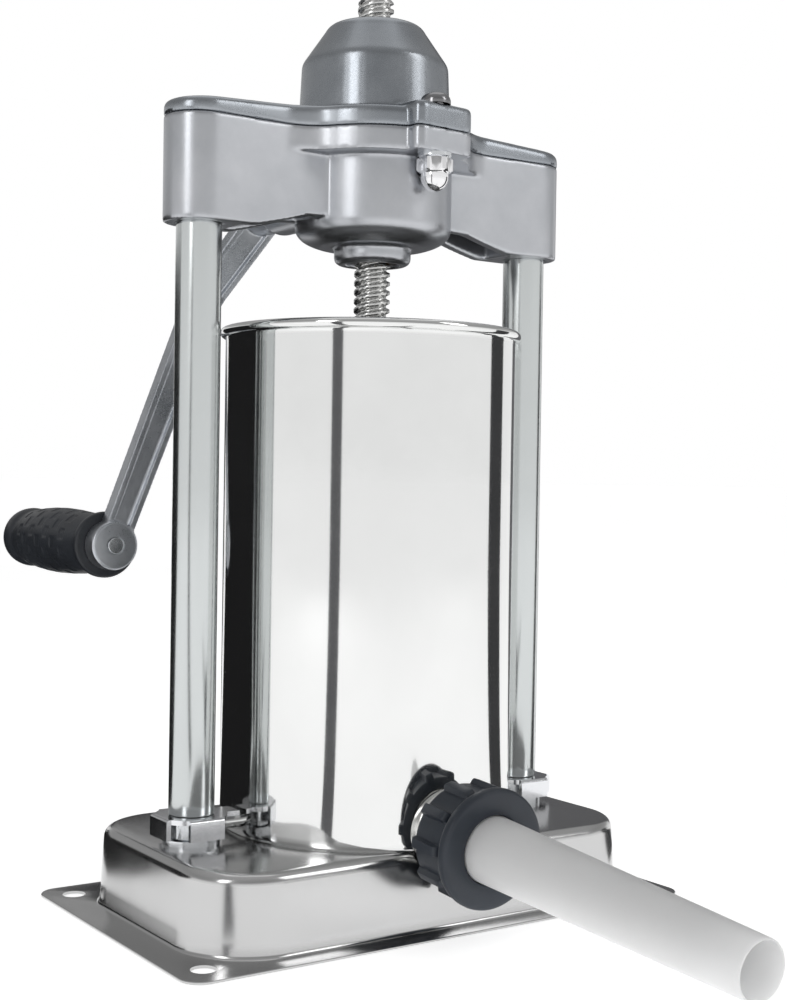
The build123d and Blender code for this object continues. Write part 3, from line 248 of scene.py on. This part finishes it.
# ------------------------------------------------------------------ mesh helpers
def finish_piece(name, verts, faces, node, sharp=32.0):
    """Make an object that stands for a CAD node, with its look, body and slot."""
    mesh = bpy.data.meshes.new(name)
    mesh.from_pydata([tuple(v) for v in verts], [], faces)
    bm = bmesh.new()
    bm.from_mesh(mesh)
    bmesh.ops.remove_doubles(bm, verts=bm.verts, dist=1e-7)
    bmesh.ops.recalc_face_normals(bm, faces=bm.faces)
    bm.to_mesh(mesh)
    bm.free()
    mesh.polygons.foreach_set("use_smooth", [True] * len(mesh.polygons))
    mesh.set_sharp_from_angle(angle=radians(sharp))
    piece = bpy.data.objects.new(name, mesh)
    bpy.context.scene.collection.objects.link(piece)
    dress(piece, node)
    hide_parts(node)
    return piece


def dress(piece, node):
    """Give a piece the look, slot and body of a CAD node."""
    slot = SLOT_OF[node]
    piece.data.materials.clear()
    piece.data.materials.append(LOOKS[slot])
    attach(piece, BODY_OF[node])


def axis_frame(origin, direction):
    """Matrix whose local z runs along direction from origin."""
    z = Vector(direction).normalized()
    x = Vector((1, 0, 0)) if abs(z.x) < 0.9 else Vector((0, 1, 0))
    x = (x - z * x.dot(z)).normalized()
    y = z.cross(x)
    return Matrix.Translation(origin) @ Matrix((x, y, z)).transposed().to_4x4()


def lathe_mesh(profile, origin, direction, segments=96, shape=None):
    """Vertices and faces of a profile of (along, radius) in mm turned round an axis.

    shape(along, radius, angle), if given, returns the radius there."""
    place = axis_frame(Vector(origin), direction)
    verts, faces, rings = [], [], []
    for along, radius in profile:
        if radius < 1e-6:
            rings.append([len(verts)])
            verts.append(place @ Vector((0, 0, along * MM)))
            continue
        rings.append(list(range(len(verts), len(verts) + segments)))
        for k in range(segments):
            angle = 2 * pi * k / segments
            r = shape(along, radius, angle) if shape else radius
            verts.append(place @ Vector((r * cos(angle) * MM, r * sin(angle) * MM, along * MM)))
    for a, b in zip(rings, rings[1:] + rings[:1]):
        if len(a) == 1 and len(b) == 1:
            continue
        for k in range(segments):
            n = (k + 1) % segments
            if len(a) == 1:
                faces.append((a[0], b[n], b[k]))
            elif len(b) == 1:
                faces.append((a[k], a[n], b[0]))
            else:
                faces.append((a[k], a[n], b[n], b[k]))
    return verts, faces


def lathe(name, node, profile, origin=(0, 0, 0), direction=(0, 0, 1), segments=96, shape=None, sharp=32.0):
    """A turned piece that stands for a CAD node."""
    verts, faces = lathe_mesh(profile, origin, direction, segments, shape)
    return finish_piece(name, verts, faces, node, sharp)


def cut(piece, tool_mesh):
    """Subtract a closed mesh from a piece, and keep the result."""
    mesh = bpy.data.meshes.new("cutter")
    mesh.from_pydata([tuple(v) for v in tool_mesh[0]], [], tool_mesh[1])
    bm = bmesh.new()
    bm.from_mesh(mesh)
    bmesh.ops.recalc_face_normals(bm, faces=bm.faces)
    bm.to_mesh(mesh)
    bm.free()
    tool = bpy.data.objects.new("cutter", mesh)
    bpy.context.scene.collection.objects.link(tool)
    boolean = piece.modifiers.new("cut", "BOOLEAN")
    boolean.object = tool
    boolean.operation = "DIFFERENCE"
    boolean.solver = "EXACT"
    bpy.context.view_layer.update()
    result = bpy.data.meshes.new_from_object(piece.evaluated_get(bpy.context.evaluated_depsgraph_get()))
    piece.modifiers.clear()
    old = piece.data
    materials = list(old.materials)
    piece.data = result
    result.materials.clear()
    for material in materials[:1]:
        result.materials.append(material)
    result.polygons.foreach_set("material_index", [0] * len(result.polygons))
    bpy.data.meshes.remove(old)
    bpy.data.objects.remove(tool)
    result.polygons.foreach_set("use_smooth", [True] * len(result.polygons))
    result.set_sharp_from_angle(angle=radians(30))


# ------------------------------------------------------------------ carried-over CAD nodes
SOFT_EDGES = {
    "clip_left": 0.35, "clip_right": 0.35,
    "foot_washers": 0.3, "acorn_washers": 0.3, "cylinder_lugs": 0.3, "piston_disc": 0.4, "crank_washer": 0.3,
    "column_top_screws": 0.4, "base_lock_nuts": 0.4, "grip_cap": 0.4,
}
CAST_SKIN = {"head_housing": (0.8, 5), "head_cover": (0.8, 5), "crank_arm": (0.5, 3)}
for name, node in nodes.items():
    node.data.materials.clear()
    node.data.materials.append(LOOKS[SLOT_OF[name]])
    node.data.polygons.foreach_set("use_smooth", [True] * len(node.data.polygons))
    if name in SOFT_EDGES:
        bevel = node.modifiers.new("soft_edges", "BEVEL")
        bevel.width = SOFT_EDGES[name] * MM
        bevel.segments = 3
        bevel.limit_method = "ANGLE"
        bevel.angle_limit = radians(38)
        bevel.use_clamp_overlap = True
        bevel.harden_normals = False
        bevel.miter_outer = "MITER_ARC"
    if name in CAST_SKIN:
        grain, passes = CAST_SKIN[name]
        skin = node.modifiers.new("cast_skin", "REMESH")
        skin.mode = "VOXEL"
        skin.voxel_size = grain * MM
        skin.use_smooth_shade = True
        soften = node.modifiers.new("soften", "SMOOTH")
        soften.factor = 0.5
        soften.iterations = passes


# ------------------------------------------------------------------ finer pieces
def joined(meshes):
    """Several (vertices, faces) meshes as one."""
    verts, faces = [], []
    for part_verts, part_faces in meshes:
        base = len(verts)
        verts += list(part_verts)
        faces += [tuple(i + base for i in face) for face in part_faces]
    return verts, faces


def rod(origin, direction, radius, start, stop, segments=64):
    """A plain closed cylinder along a direction, in mm, as a cutting tool."""
    return lathe_mesh([(start, 0), (start, radius), (stop, radius), (stop, 0)], origin, direction, segments)


def clamp(value):
    return min(1.0, max(0.0, value))


def ease(value):
    """A soft step from 0 to 1."""
    value = clamp(value)
    return value * value * (3 - 2 * value)


COLUMN_X = 85.6
BASE_TOP = 33.5
SPOUT_DIP = radians(4.0)
SPOUT_OUT = Vector((0, -cos(SPOUT_DIP), -sin(SPOUT_DIP)))
NUT_FACE = Vector((0, -93.8, 38.8)) * MM
UP = Vector((0, 0, 1))

# cylinder with a rolled rim
CYL_R, CYL_IN, CYL_TOP = 64.0, 62.8, 250.1
RIM_R, RIM_H, RIM_STEPS = 66.4, 4.4, 14
RIM_ROOT = CYL_R + 0.2
rim = []
for k in range(RIM_STEPS + 1):
    turn = pi / 2 - pi * k / RIM_STEPS
    rim.append((CYL_TOP - RIM_H / 2 + RIM_H / 2 * sin(turn), RIM_ROOT + (RIM_R - RIM_ROOT) * cos(turn)))
SPOUT_RINGS = range(36, 62, 2)
MID_RING = 150
SPOUT_BORE = 11.0
shell = [(BASE_TOP + 0.1, CYL_IN)] + [(z, CYL_IN) for z in SPOUT_RINGS]
shell += [(MID_RING, CYL_IN), (CYL_TOP - 0.6, CYL_IN), (CYL_TOP - 0.15, CYL_IN + 0.4), (CYL_TOP, CYL_R)]
shell += rim
shell += [(CYL_TOP - RIM_H - 0.5, CYL_R + 0.02), (CYL_TOP - RIM_H - 2, CYL_R), (MID_RING, CYL_R)]
shell += [(z, CYL_R) for z in reversed(SPOUT_RINGS)]
shell += [(34.8, CYL_R - 0.15), (34.0, CYL_R - 0.45), (BASE_TOP + 0.1, CYL_R - 0.9)]
cylinder = lathe("cylinder_wall", "cylinder_shell", shell, segments=288)
cut(cylinder, rod(NUT_FACE, SPOUT_OUT, SPOUT_BORE, -50, -20))

# columns: ground rod with a stud below
STUD_R, COLUMN_R = 6.0, 9.5
CLIP_TOP, COLUMN_END = 45.4, 316.0
SCREW_HOLE_R, SCREW_HOLE_DEPTH = 5, 22
for side, word in ((-1, "left"), (1, "right")):
    profile = [(13, 0), (13, 4.9), (13.5, 5.6), (14.2, STUD_R), (CLIP_TOP, STUD_R), (CLIP_TOP, 8.7)]
    profile += [(CLIP_TOP + 0.25, 9.2), (CLIP_TOP + 0.8, COLUMN_R), (180, COLUMN_R)]
    profile += [(COLUMN_END - 0.8, COLUMN_R)]
    profile += [(COLUMN_END, 8.8), (COLUMN_END, SCREW_HOLE_R)]
    profile += [(COLUMN_END - SCREW_HOLE_DEPTH, SCREW_HOLE_R), (COLUMN_END - SCREW_HOLE_DEPTH, 0)]
    lathe(f"column_rod_{word}", f"column_{word}", profile, (side * COLUMN_X * MM, 0, 0), UP, 128)

# lead screw: rolled two-start right-hand thread
SCREW_R, SCREW_ROOT, SCREW_BOTTOM, SCREW_TOP, SCREW_PITCH = 7.95, 6.35, 56.0, 396.0, 4.0


def thread_radius(along, radius, angle):
    """Two starts, so the phase turns twice round the axis. The top end tapers."""
    if radius < SCREW_R:
        return radius
    phase = (along / SCREW_PITCH - angle / pi) % 1.0
    wave = 0.5 + 0.5 * cos(2 * pi * phase)
    crest = ease((wave - 0.12) / 0.62)
    limit = SCREW_R - max(0.0, along - (SCREW_TOP - 1.4)) * 0.9
    return min(limit, SCREW_ROOT + (SCREW_R - SCREW_ROOT) * crest)


THREAD_STEP = 0.4
steps = int((SCREW_TOP - SCREW_BOTTOM) / THREAD_STEP)
screw = [(38.5, 0), (38.5, 4.4), (39.1, 5.0), (SCREW_BOTTOM, 5.0)]
screw += [(SCREW_BOTTOM + k * THREAD_STEP, SCREW_R) for k in range(steps + 1)]
screw += [(SCREW_TOP, 4.0), (SCREW_TOP - 0.5, 0)]
lathe("screw_thread", "lead_screw", screw, segments=56, shape=thread_radius, sharp=50)

# ring nut: ten narrow ribs behind a smooth front disc
RIBS, NUT_R, RIB_R = 10, 21.5, 23.9
RIB_HALF = radians(4.4)
RIB_FLANK = radians(2.2)
RIB_BACK, RIB_BACK_RAMP = -23.9, 1.3
RIB_FRONT, RIB_FRONT_RAMP = -7.6, 1.6


def nut_radius(along, radius, angle):
    """Ribs stand on the nut's body only, with soft flanks and rounded ends."""
    if not 21.0 < radius < 22.0:
        return radius
    turn = (angle + pi / RIBS) % (2 * pi / RIBS) - pi / RIBS
    wall = ease(1.0 - clamp((abs(turn) - RIB_HALF) / RIB_FLANK))
    ends = clamp((along - RIB_BACK) / RIB_BACK_RAMP) * clamp((RIB_FRONT - along) / RIB_FRONT_RAMP)
    ends = (1 - (1 - ends) ** 2) ** 0.5
    return radius + (RIB_R - NUT_R) * wall * ends


nut = [(-4.1, 14.05), (-4.1, 16.65), (-23.6, 16.65), (-24.0, 17.1), (-24.0, 20.6), (-23.8, 21.05)]
nut += [(-23.4, 21.35)] + [(z, NUT_R) for z in (-22.6, -22.0, -18, -12, -9.2, -8.6, -8.0, -7.4)]
nut += [(-6.9, 21.3), (-6.4, 20.9), (-5.7, 20.9), (-5.2, 22.2), (-5.0, 23.2), (-4.6, 24.0)]
nut += [(-4.0, 24.4), (-3.2, 24.55), (-1.8, 24.55), (-1.0, 24.35), (-0.4, 23.9), (-0.1, 23.2), (0, 22.4)]
nut += [(0, 14.6), (-0.3, 14.2), (-0.8, 14.05)]
lathe("nut_body", "ring_nut", nut, NUT_FACE, SPOUT_OUT, 480, nut_radius, 40)

# stuffing tube: soft lip, thicker wall behind it
TUBE_SHRINK = 2.7
TUBE_LENGTH = 145


def tube_wall(start_radius, stations):
    """Points of a tapered wall that is start_radius wide at the root."""
    return [(z, start_radius - TUBE_SHRINK * (z + 4) / TUBE_LENGTH) for z in stations]


tube = [(-6.5, 12.25), (-6.5, 15.9), (-6.1, 16.25), (-4.5, 16.25), (-4.1, 15.9), (-4.0, 14.2)]
tube += [(-3.4, 13.75)] + tube_wall(13.7, range(0, 140, 10))
tube += [(139.6, 11.0), (140.4, 10.9), (140.85, 10.65), (141.0, 10.35), (140.7, 10.15)]
tube += [(139.6, 10.1), (129.2, 9.55), (128.4, 9.4)] + tube_wall(12.2, range(120, 0, -10))
lathe("tube_wall", "stuffing_tube", tube, NUT_FACE, SPOUT_OUT, 128)

# spout: rolled thread and a weld bead on the cylinder
SPOUT_R, SPOUT_ROOT, SPOUT_CREST, SPOUT_PITCH = 16.4, 15.5, 0.95, 3.0
SPOUT_STEP, SPOUT_STEPS = 0.25, 76


def spout_radius(along, radius, angle):
    """A single-start thread on the stretch that is SPOUT_R wide."""
    if radius != SPOUT_R:
        return radius
    phase = (along / SPOUT_PITCH - angle / (2 * pi)) % 1.0
    return SPOUT_ROOT + SPOUT_CREST * clamp((0.5 + 0.5 * cos(2 * pi * phase)) * 1.5 - 0.25)


spout = [(-34, SPOUT_BORE), (-34, 17.6), (-30.6, 17.6), (-29.4, 17.3), (-28.5, 16.6), (-28.0, SPOUT_R)]
spout += [(-28 + SPOUT_STEP * k, SPOUT_R) for k in range(1, SPOUT_STEPS + 1)]
spout += [(-8.6, 15.4), (-8.0, 15.0), (-8.0, 11.4), (-8.4, SPOUT_BORE)]
spout_piece = lathe("spout_thread", "spout", spout, NUT_FACE, SPOUT_OUT, 96, spout_radius, 45)
cut(spout_piece, rod((0, 0, 0), UP, CYL_R, 10, 120, 288))


# hexagon nuts with chamfered corners
def hexagon(across_flats):
    """A shape for lathe_mesh that trims what is outside the bore to a hexagon."""
    def radius_at(along, radius, angle):
        turn = (angle + pi / 6) % (pi / 3) - pi / 6
        flat = across_flats / 2 / cos(turn)
        return min(radius, flat) if radius > across_flats / 2 - 0.8 else radius
    return radius_at


def chamfered_hex(across_flats, bore, bottom, top):
    """The profile of a nut with both ends chamfered."""
    corner = across_flats / 2 / cos(pi / 6)
    flat = across_flats / 2
    drop = (corner - flat) * 0.55
    mid = (flat + corner) / 2
    return [
        (bottom, bore + 0.5), (bottom, flat * 0.97), (bottom + drop * 0.5, mid), (bottom + drop, corner),
        (top - drop, corner), (top - drop * 0.5, mid), (top, flat * 0.97), (top, bore + 0.5),
        (top - 0.5, bore), (bottom + 0.5, bore),
    ]


FOOT_AF, FOOT_BORE, FOOT_BOTTOM, FOOT_TOP = 19.0, 6.05, 36.0, 43.4
foot_profile = chamfered_hex(FOOT_AF, FOOT_BORE, FOOT_BOTTOM, FOOT_TOP)
feet = []
for side in (-1, 1):
    feet.append(lathe_mesh(foot_profile, (side * COLUMN_X * MM, 0, 0), UP, 144, hexagon(FOOT_AF)))
verts, faces = joined(feet)
finish_piece("foot_hexes", verts, faces, "foot_nuts", 25)

ACORN_TOP, ACORN_AF, ACORN_H, ACORN_DOME = 320.8, 13.4, 14.4, 6.1
ACORN_BORE, ACORN_BORE_DEPTH, ACORN_HEX_H = 4.05, 11, 6.5
ACORN_CIRCLE, ACORN_ANGLES, DOME_STEPS = 41.5, (-85.0, 35.0, 151.0), 10
flat = ACORN_AF / 2
corner = flat / cos(pi / 6)
hex_low = ACORN_TOP - ACORN_HEX_H
dome_z = ACORN_TOP - ACORN_H + ACORN_DOME
dome_r = ACORN_DOME - 0.15
acorn = [(ACORN_TOP - ACORN_BORE_DEPTH, 0), (ACORN_TOP - ACORN_BORE_DEPTH, ACORN_BORE)]
acorn += [(ACORN_TOP, ACORN_BORE), (ACORN_TOP, flat * 0.98), (ACORN_TOP - 0.7, corner)]
acorn += [(hex_low + 0.9, corner), (hex_low + 0.1, flat)]
acorn += [(hex_low - 0.2, ACORN_DOME + 0.1), (hex_low - 0.5, dome_r)]
for k in range(DOME_STEPS):
    turn = pi / 2 * k / DOME_STEPS
    acorn.append((dome_z - ACORN_DOME * sin(turn), dome_r * cos(turn)))
acorn += [(ACORN_TOP - ACORN_H, 0)]
acorns = []
for degrees in ACORN_ANGLES:
    angle = radians(degrees)
    spot = Vector((ACORN_CIRCLE * cos(angle), ACORN_CIRCLE * sin(angle), 0)) * MM
    acorns.append(lathe_mesh(acorn, spot, UP, 96, hexagon(ACORN_AF)))
verts, faces = joined(acorns)
finish_piece("acorn_caps", verts, faces, "acorn_nuts", 28)

# grip: flange, belly with moulded pockets, end knob
LEAN, ARM_LENGTH, CRANK_Z = radians(21.5), 178, 316
HANDLE = Vector((-ARM_LENGTH * sin(LEAN), 0, CRANK_Z - ARM_LENGTH * cos(LEAN))) * MM
GRIP_START, GRIP_LENGTH = 134.6, 108.0
NECK = 5.2
GRIP_SHAPE = (
    (NECK, 13.9), (12, 14.5), (24, 15.6), (38, 16.5), (52, 16.9), (64, 16.75), (76, 16.1), (84, 15.3),
    (88, 14.75), (90, 14.6), (91.6, 15.0), (93.5, 15.6), (97, 15.75), (101, 15.3), (104, 14.2),
    (106.2, 12.8), (107.5, 11.2), (GRIP_LENGTH, 9.8),
)


def grip_outline(along):
    """The grip's radius at a distance from its arm end."""
    for (a0, r0), (a1, r1) in zip(GRIP_SHAPE, GRIP_SHAPE[1:]):
        if along <= a1:
            t = (along - a0) / (a1 - a0)
            return r0 + (r1 - r0) * t
    return GRIP_SHAPE[-1][1]


POCKET_ROWS, POCKET_PITCH, POCKETS, POCKET_DEPTH = 7, 9.2, 10, 0.4
POCKET_START, POCKET_HALF_LENGTH, POCKET_HALF_WIDTH, POCKET_FLANK = 18, 3.1, 3.0, 0.7


def grip_radius(along, radius, angle):
    """Rows of shallow pockets round the belly, every other row shifted by half a pocket."""
    local = along - GRIP_START
    if radius < 12 or not POCKET_START < local < POCKET_START + POCKET_ROWS * POCKET_PITCH:
        return radius
    row = (local - POCKET_START) / POCKET_PITCH
    number = int(row)
    across = abs(row - number - 0.5) * POCKET_PITCH
    turn = (angle / (2 * pi) * POCKETS + 0.5 * (number % 2)) % 1.0
    sideways = abs(turn - 0.5) * 2 * pi * radius / POCKETS
    inside = min(POCKET_HALF_LENGTH - across, POCKET_HALF_WIDTH - sideways) / POCKET_FLANK
    return radius - POCKET_DEPTH * ease(inside)


def smoothed(values, passes=6):
    """Values averaged with their neighbours, with both ends kept."""
    for _ in range(passes):
        inner = [(a + 2 * b + c) / 4 for a, b, c in zip(values, values[1:], values[2:])]
        values = [values[0]] + inner + [values[-1]]
    return values


GRIP_STEP = 0.5
SPINDLE_BORE, CAP_BORE, CAP_DEPTH = 4.2, 7.1, 96.5
stations = [NECK + GRIP_STEP * k for k in range(int((GRIP_LENGTH - NECK) / GRIP_STEP) + 1)]
radii = smoothed([grip_outline(a) for a in stations])
grip = [(0, SPINDLE_BORE), (0, 14.9), (0.3, 15.8), (1.0, 16.25), (2.2, 16.3), (3.6, 16.3)]
grip += [(4.4, 16.0), (4.8, 15.2), (5.0, 14.3)] + list(zip(stations, radii))
grip += [(GRIP_LENGTH, 9.0), (GRIP_LENGTH, CAP_BORE), (CAP_DEPTH, CAP_BORE), (CAP_DEPTH, SPINDLE_BORE)]
lathe("grip_body", "grip", [(GRIP_START + a, r) for a, r in grip], HANDLE, (0, 1, 0), 160, grip_radius, 40)


# base: pressed pan with a wide flange, a spout notch and six holes
def round_rect(width, depth, corner, height, per_corner=20):
    """Points of a rounded rectangle in mm, at a height, as many at each corner."""
    corner = max(corner, 0.2)
    points = []
    for sx, sy, start in ((1, 1, 0), (-1, 1, 90), (-1, -1, 180), (1, -1, 270)):
        cx, cy = sx * (width / 2 - corner), sy * (depth / 2 - corner)
        for k in range(per_corner + 1):
            angle = radians(start + 90 * k / per_corner)
            points.append(Vector((cx + corner * cos(angle), cy + corner * sin(angle), height)) * MM)
    return points


def stack(outlines):
    """A closed solid through a stack of outlines of equal point counts."""
    count = len(outlines[0])
    verts = [point for outline in outlines for point in outline]
    faces = [tuple(range(count - 1, -1, -1)), tuple(range(len(verts) - count, len(verts)))]
    for level in range(len(outlines) - 1):
        for k in range(count):
            a, b = level * count + k, level * count + (k + 1) % count
            faces.append((a, b, b + count, a + count))
    return verts, faces


BOX_X, BOX_Y, BOX_CORNER = 217.2, 129.4, 32.0
DRAFT, TOP_EDGE, EDGE_STEPS = radians(3.0), 4.6, 8


def box_outline(inset, height):
    """The raised part's outline, moved inwards by inset, at a height."""
    return round_rect(BOX_X - 2 * inset, BOX_Y - 2 * inset, BOX_CORNER - inset, height)


def pan_levels(inset, root):
    """Outlines of the raised part: root fillet, drafted wall, rounded top edge."""
    top = BASE_TOP - inset
    edge = TOP_EDGE - inset
    levels = [box_outline(inset - out, height) for height, out in root]
    for height in (8, 18, top - edge):
        levels.append(box_outline(inset + height * tan(DRAFT), height))
    for k in range(1, EDGE_STEPS + 1):
        turn = pi / 2 * k / EDGE_STEPS
        draw = (top - edge) * tan(DRAFT) + edge * (1 - cos(turn))
        levels.append(box_outline(inset + draw, top - edge + edge * sin(turn)))
    return levels


SHEET = 1.2
FLANGE_X, FLANGE_Y, FLANGE_CORNER = 247, 150.4, 9
NOTCH_R, NOTCH_START, NOTCH_STOP = 19.0, -57.8, 10
BOLT_X, BOLT_Y, BOLT_R = 111, 61.3, 5.0
flange = [
    round_rect(FLANGE_X - 0.6, FLANGE_Y - 0.6, FLANGE_CORNER - 0.3, 0),
    round_rect(FLANGE_X, FLANGE_Y, FLANGE_CORNER, 0.25),
    round_rect(FLANGE_X, FLANGE_Y, FLANGE_CORNER, 0.95),
    round_rect(FLANGE_X - 0.5, FLANGE_Y - 0.5, FLANGE_CORNER - 0.2, SHEET),
]
outer = stack(flange + pan_levels(0, ((SHEET, 1.2), (1.45, 0.75), (2.0, 0.3), (2.8, 0.0))))
inner = stack([box_outline(SHEET, -1)] + pan_levels(SHEET, ((0.5, 0.0),)))
hollow = finish_piece("hollow_tool", inner[0], inner[1], "base_pan")
cut(hollow, rod(NUT_FACE, SPOUT_OUT, NOTCH_R + SHEET, NOTCH_START - SHEET, NOTCH_STOP, 128))
hollow_mesh = ([v.co.copy() for v in hollow.data.vertices], [tuple(f.vertices) for f in hollow.data.polygons])
bpy.data.objects.remove(hollow)
pan = finish_piece("pan", outer[0], outer[1], "base_pan")
cut(pan, rod(NUT_FACE, SPOUT_OUT, NOTCH_R, NOTCH_START, NOTCH_STOP, 128))
cut(pan, hollow_mesh)
holes = [rod((x * MM, y * MM, 0), UP, BOLT_R, -1, 3) for x in (-BOLT_X, BOLT_X) for y in (-BOLT_Y, BOLT_Y)]
holes += [rod((x * MM, 0, 0), UP, STUD_R, 25, 40) for x in (-COLUMN_X, COLUMN_X)]
cut(pan, joined(holes))

# ------------------------------------------------------------------ camera and studio
CAMERA_AT = Vector((-0.3811, -0.5795, 0.1862))
YAW, PITCH, ROLL = radians(-34.24), radians(-0.868), radians(0.874)
forward = Vector((-sin(YAW) * cos(PITCH), cos(YAW) * cos(PITCH), sin(PITCH)))
level_right = Vector((cos(YAW), sin(YAW), 0))
level_up = level_right.cross(forward)
right = level_right * cos(ROLL) + level_up * sin(ROLL)
up = level_up * cos(ROLL) - level_right * sin(ROLL)
camera_data = bpy.data.cameras.new("camera")
camera_data.sensor_width = 36.0
camera_data.lens = 56.27
camera = bpy.data.objects.new("camera", camera_data)
camera.matrix_world = Matrix.Translation(CAMERA_AT) @ Matrix((right, up, -forward)).transposed().to_4x4()
bpy.context.scene.collection.objects.link(camera)
bpy.context.scene.camera = camera

bpy.context.scene.view_settings.view_transform = "Standard"
world = bpy.data.worlds.new("studio")
world.use_nodes = True
sky = world.node_tree
sky_coords = sky.nodes.new("ShaderNodeTexCoord")
sky_split = sky.nodes.new("ShaderNodeSeparateXYZ")
sky_ramp = sky.nodes.new("ShaderNodeValToRGB")
sky_path = sky.nodes.new("ShaderNodeLightPath")
sky_mix = sky.nodes.new("ShaderNodeMix")
sky_mix.data_type = "RGBA"
sky.links.new(sky_coords.outputs["Generated"], sky_split.inputs[0])
sky.links.new(sky_split.outputs["Z"], sky_ramp.inputs[0])
SKY = ((0.0, 0.95), (0.16, 0.95), (0.27, 0.42), (0.5, 0.34), (1.0, 0.5))
while len(sky_ramp.color_ramp.elements) < len(SKY):
    sky_ramp.color_ramp.elements.new(0.5)
for element, (position, grey) in zip(sky_ramp.color_ramp.elements, SKY):
    element.position = position
    element.color = (grey, grey, grey, 1)
sky.links.new(sky_path.outputs["Is Camera Ray"], sky_mix.inputs["Factor"])
sky.links.new(sky_ramp.outputs[0], sky_mix.inputs[6])
sky_mix.inputs[7].default_value = (1, 1, 1, 1)
sky.links.new(sky_mix.outputs[2], sky.nodes["Background"].inputs["Color"])
sky.nodes["Background"].inputs["Strength"].default_value = 1.0
bpy.context.scene.world = world


def around(angle, distance, height):
    """A place round the object: angle 0 is towards the camera, and a positive one to its right."""
    toward = Vector((sin(YAW), -cos(YAW), 0))
    level = toward * cos(radians(angle)) + level_right * sin(radians(angle))
    return level * distance + Vector((0, 0, height))


CARD_R, CARD_TOP, STRIP_START, STRIP_Z = 2.5, 0.62, 0.17, 0.0005
CARD_FACET = 4


def card(name, start, stop, grey, top=CARD_TOP):
    """A dark upright card and a strip of floor in front of it, for reflections only."""
    verts, faces = [], []
    steps = max(1, ceil((stop - start) / CARD_FACET))
    for k in range(steps + 1):
        angle = start + (stop - start) * k / steps
        verts += [around(angle, CARD_R, top), around(angle, CARD_R, STRIP_Z)]
        verts += [around(angle, STRIP_START, STRIP_Z)]
    for k in range(steps):
        a, b = 3 * k, 3 * k + 3
        faces += [(a, b, b + 1, a + 1), (a + 1, b + 1, b + 2, a + 2)]
    mesh = bpy.data.meshes.new(name)
    mesh.from_pydata([tuple(v) for v in verts], [], faces)
    material = bpy.data.materials.new(name)
    material.use_nodes = True
    material.node_tree.nodes.clear()
    out = material.node_tree.nodes.new("ShaderNodeOutputMaterial")
    glow = material.node_tree.nodes.new("ShaderNodeEmission")
    glow.inputs["Color"].default_value = (grey, grey, grey * 1.04, 1)
    material.node_tree.links.new(glow.outputs[0], out.inputs[0])
    mesh.materials.append(material)
    piece = bpy.data.objects.new(name, mesh)
    bpy.context.scene.collection.objects.link(piece)
    piece.visible_camera = False
    piece.visible_diffuse = False
    piece.visible_shadow = False


card("card_front", -28, -20, 0.12)
card("card_left", -150, -88, 0.012)
card("card_far_left", -172, -158, 0.05)
card("card_right", 108, 127, 0.05)
card("card_back", 150, 188, 0.13, 1.7)


def area_light(name, angle, distance, height, size, power, aim=0.2):
    """A soft box that points at the object's axis at the height aim."""
    data = bpy.data.lights.new(name, "AREA")
    data.shape = "RECTANGLE"
    data.size, data.size_y = size
    data.energy = power
    lamp = bpy.data.objects.new(name, data)
    lamp.location = around(angle, distance, height)
    lamp.rotation_euler = (Vector((0, 0, aim)) - lamp.location).to_track_quat("-Z", "Y").to_euler()
    bpy.context.scene.collection.objects.link(lamp)


area_light("key", -33, 1.7, 0.95, (0.42, 0.8), 4, 0.3)
area_light("fill", 72, 1.7, 1.3, (0.5, 0.9), 4, 0.3)
area_light("top", 180, 0.5, 1.9, (1.4, 1.4), 3)

floor_mesh = bpy.data.meshes.new("floor")
FLOOR = 40.0
floor_corners = [(-FLOOR, -FLOOR, 0), (FLOOR, -FLOOR, 0), (FLOOR, FLOOR, 0), (-FLOOR, FLOOR, 0)]
floor_mesh.from_pydata(floor_corners, [], [(0, 1, 2, 3)])
floor = bpy.data.objects.new("floor", floor_mesh)
bpy.context.scene.collection.objects.link(floor)
floor_look = Look("floor_look").set(Roughness=0.9, Emission_Strength=0.60)
floor_look.bsdf.inputs["Emission Color"].default_value = (1, 1, 1, 1)
floor_clouds = floor_look.noise(3, 2, 0.5)
floor_look.color(floor_look.ramp(floor_clouds, (0.3, (0.86, 0.86, 0.86)), (0.7, (0.9, 0.9, 0.9))))
floor_mesh.materials.append(floor_look.material)
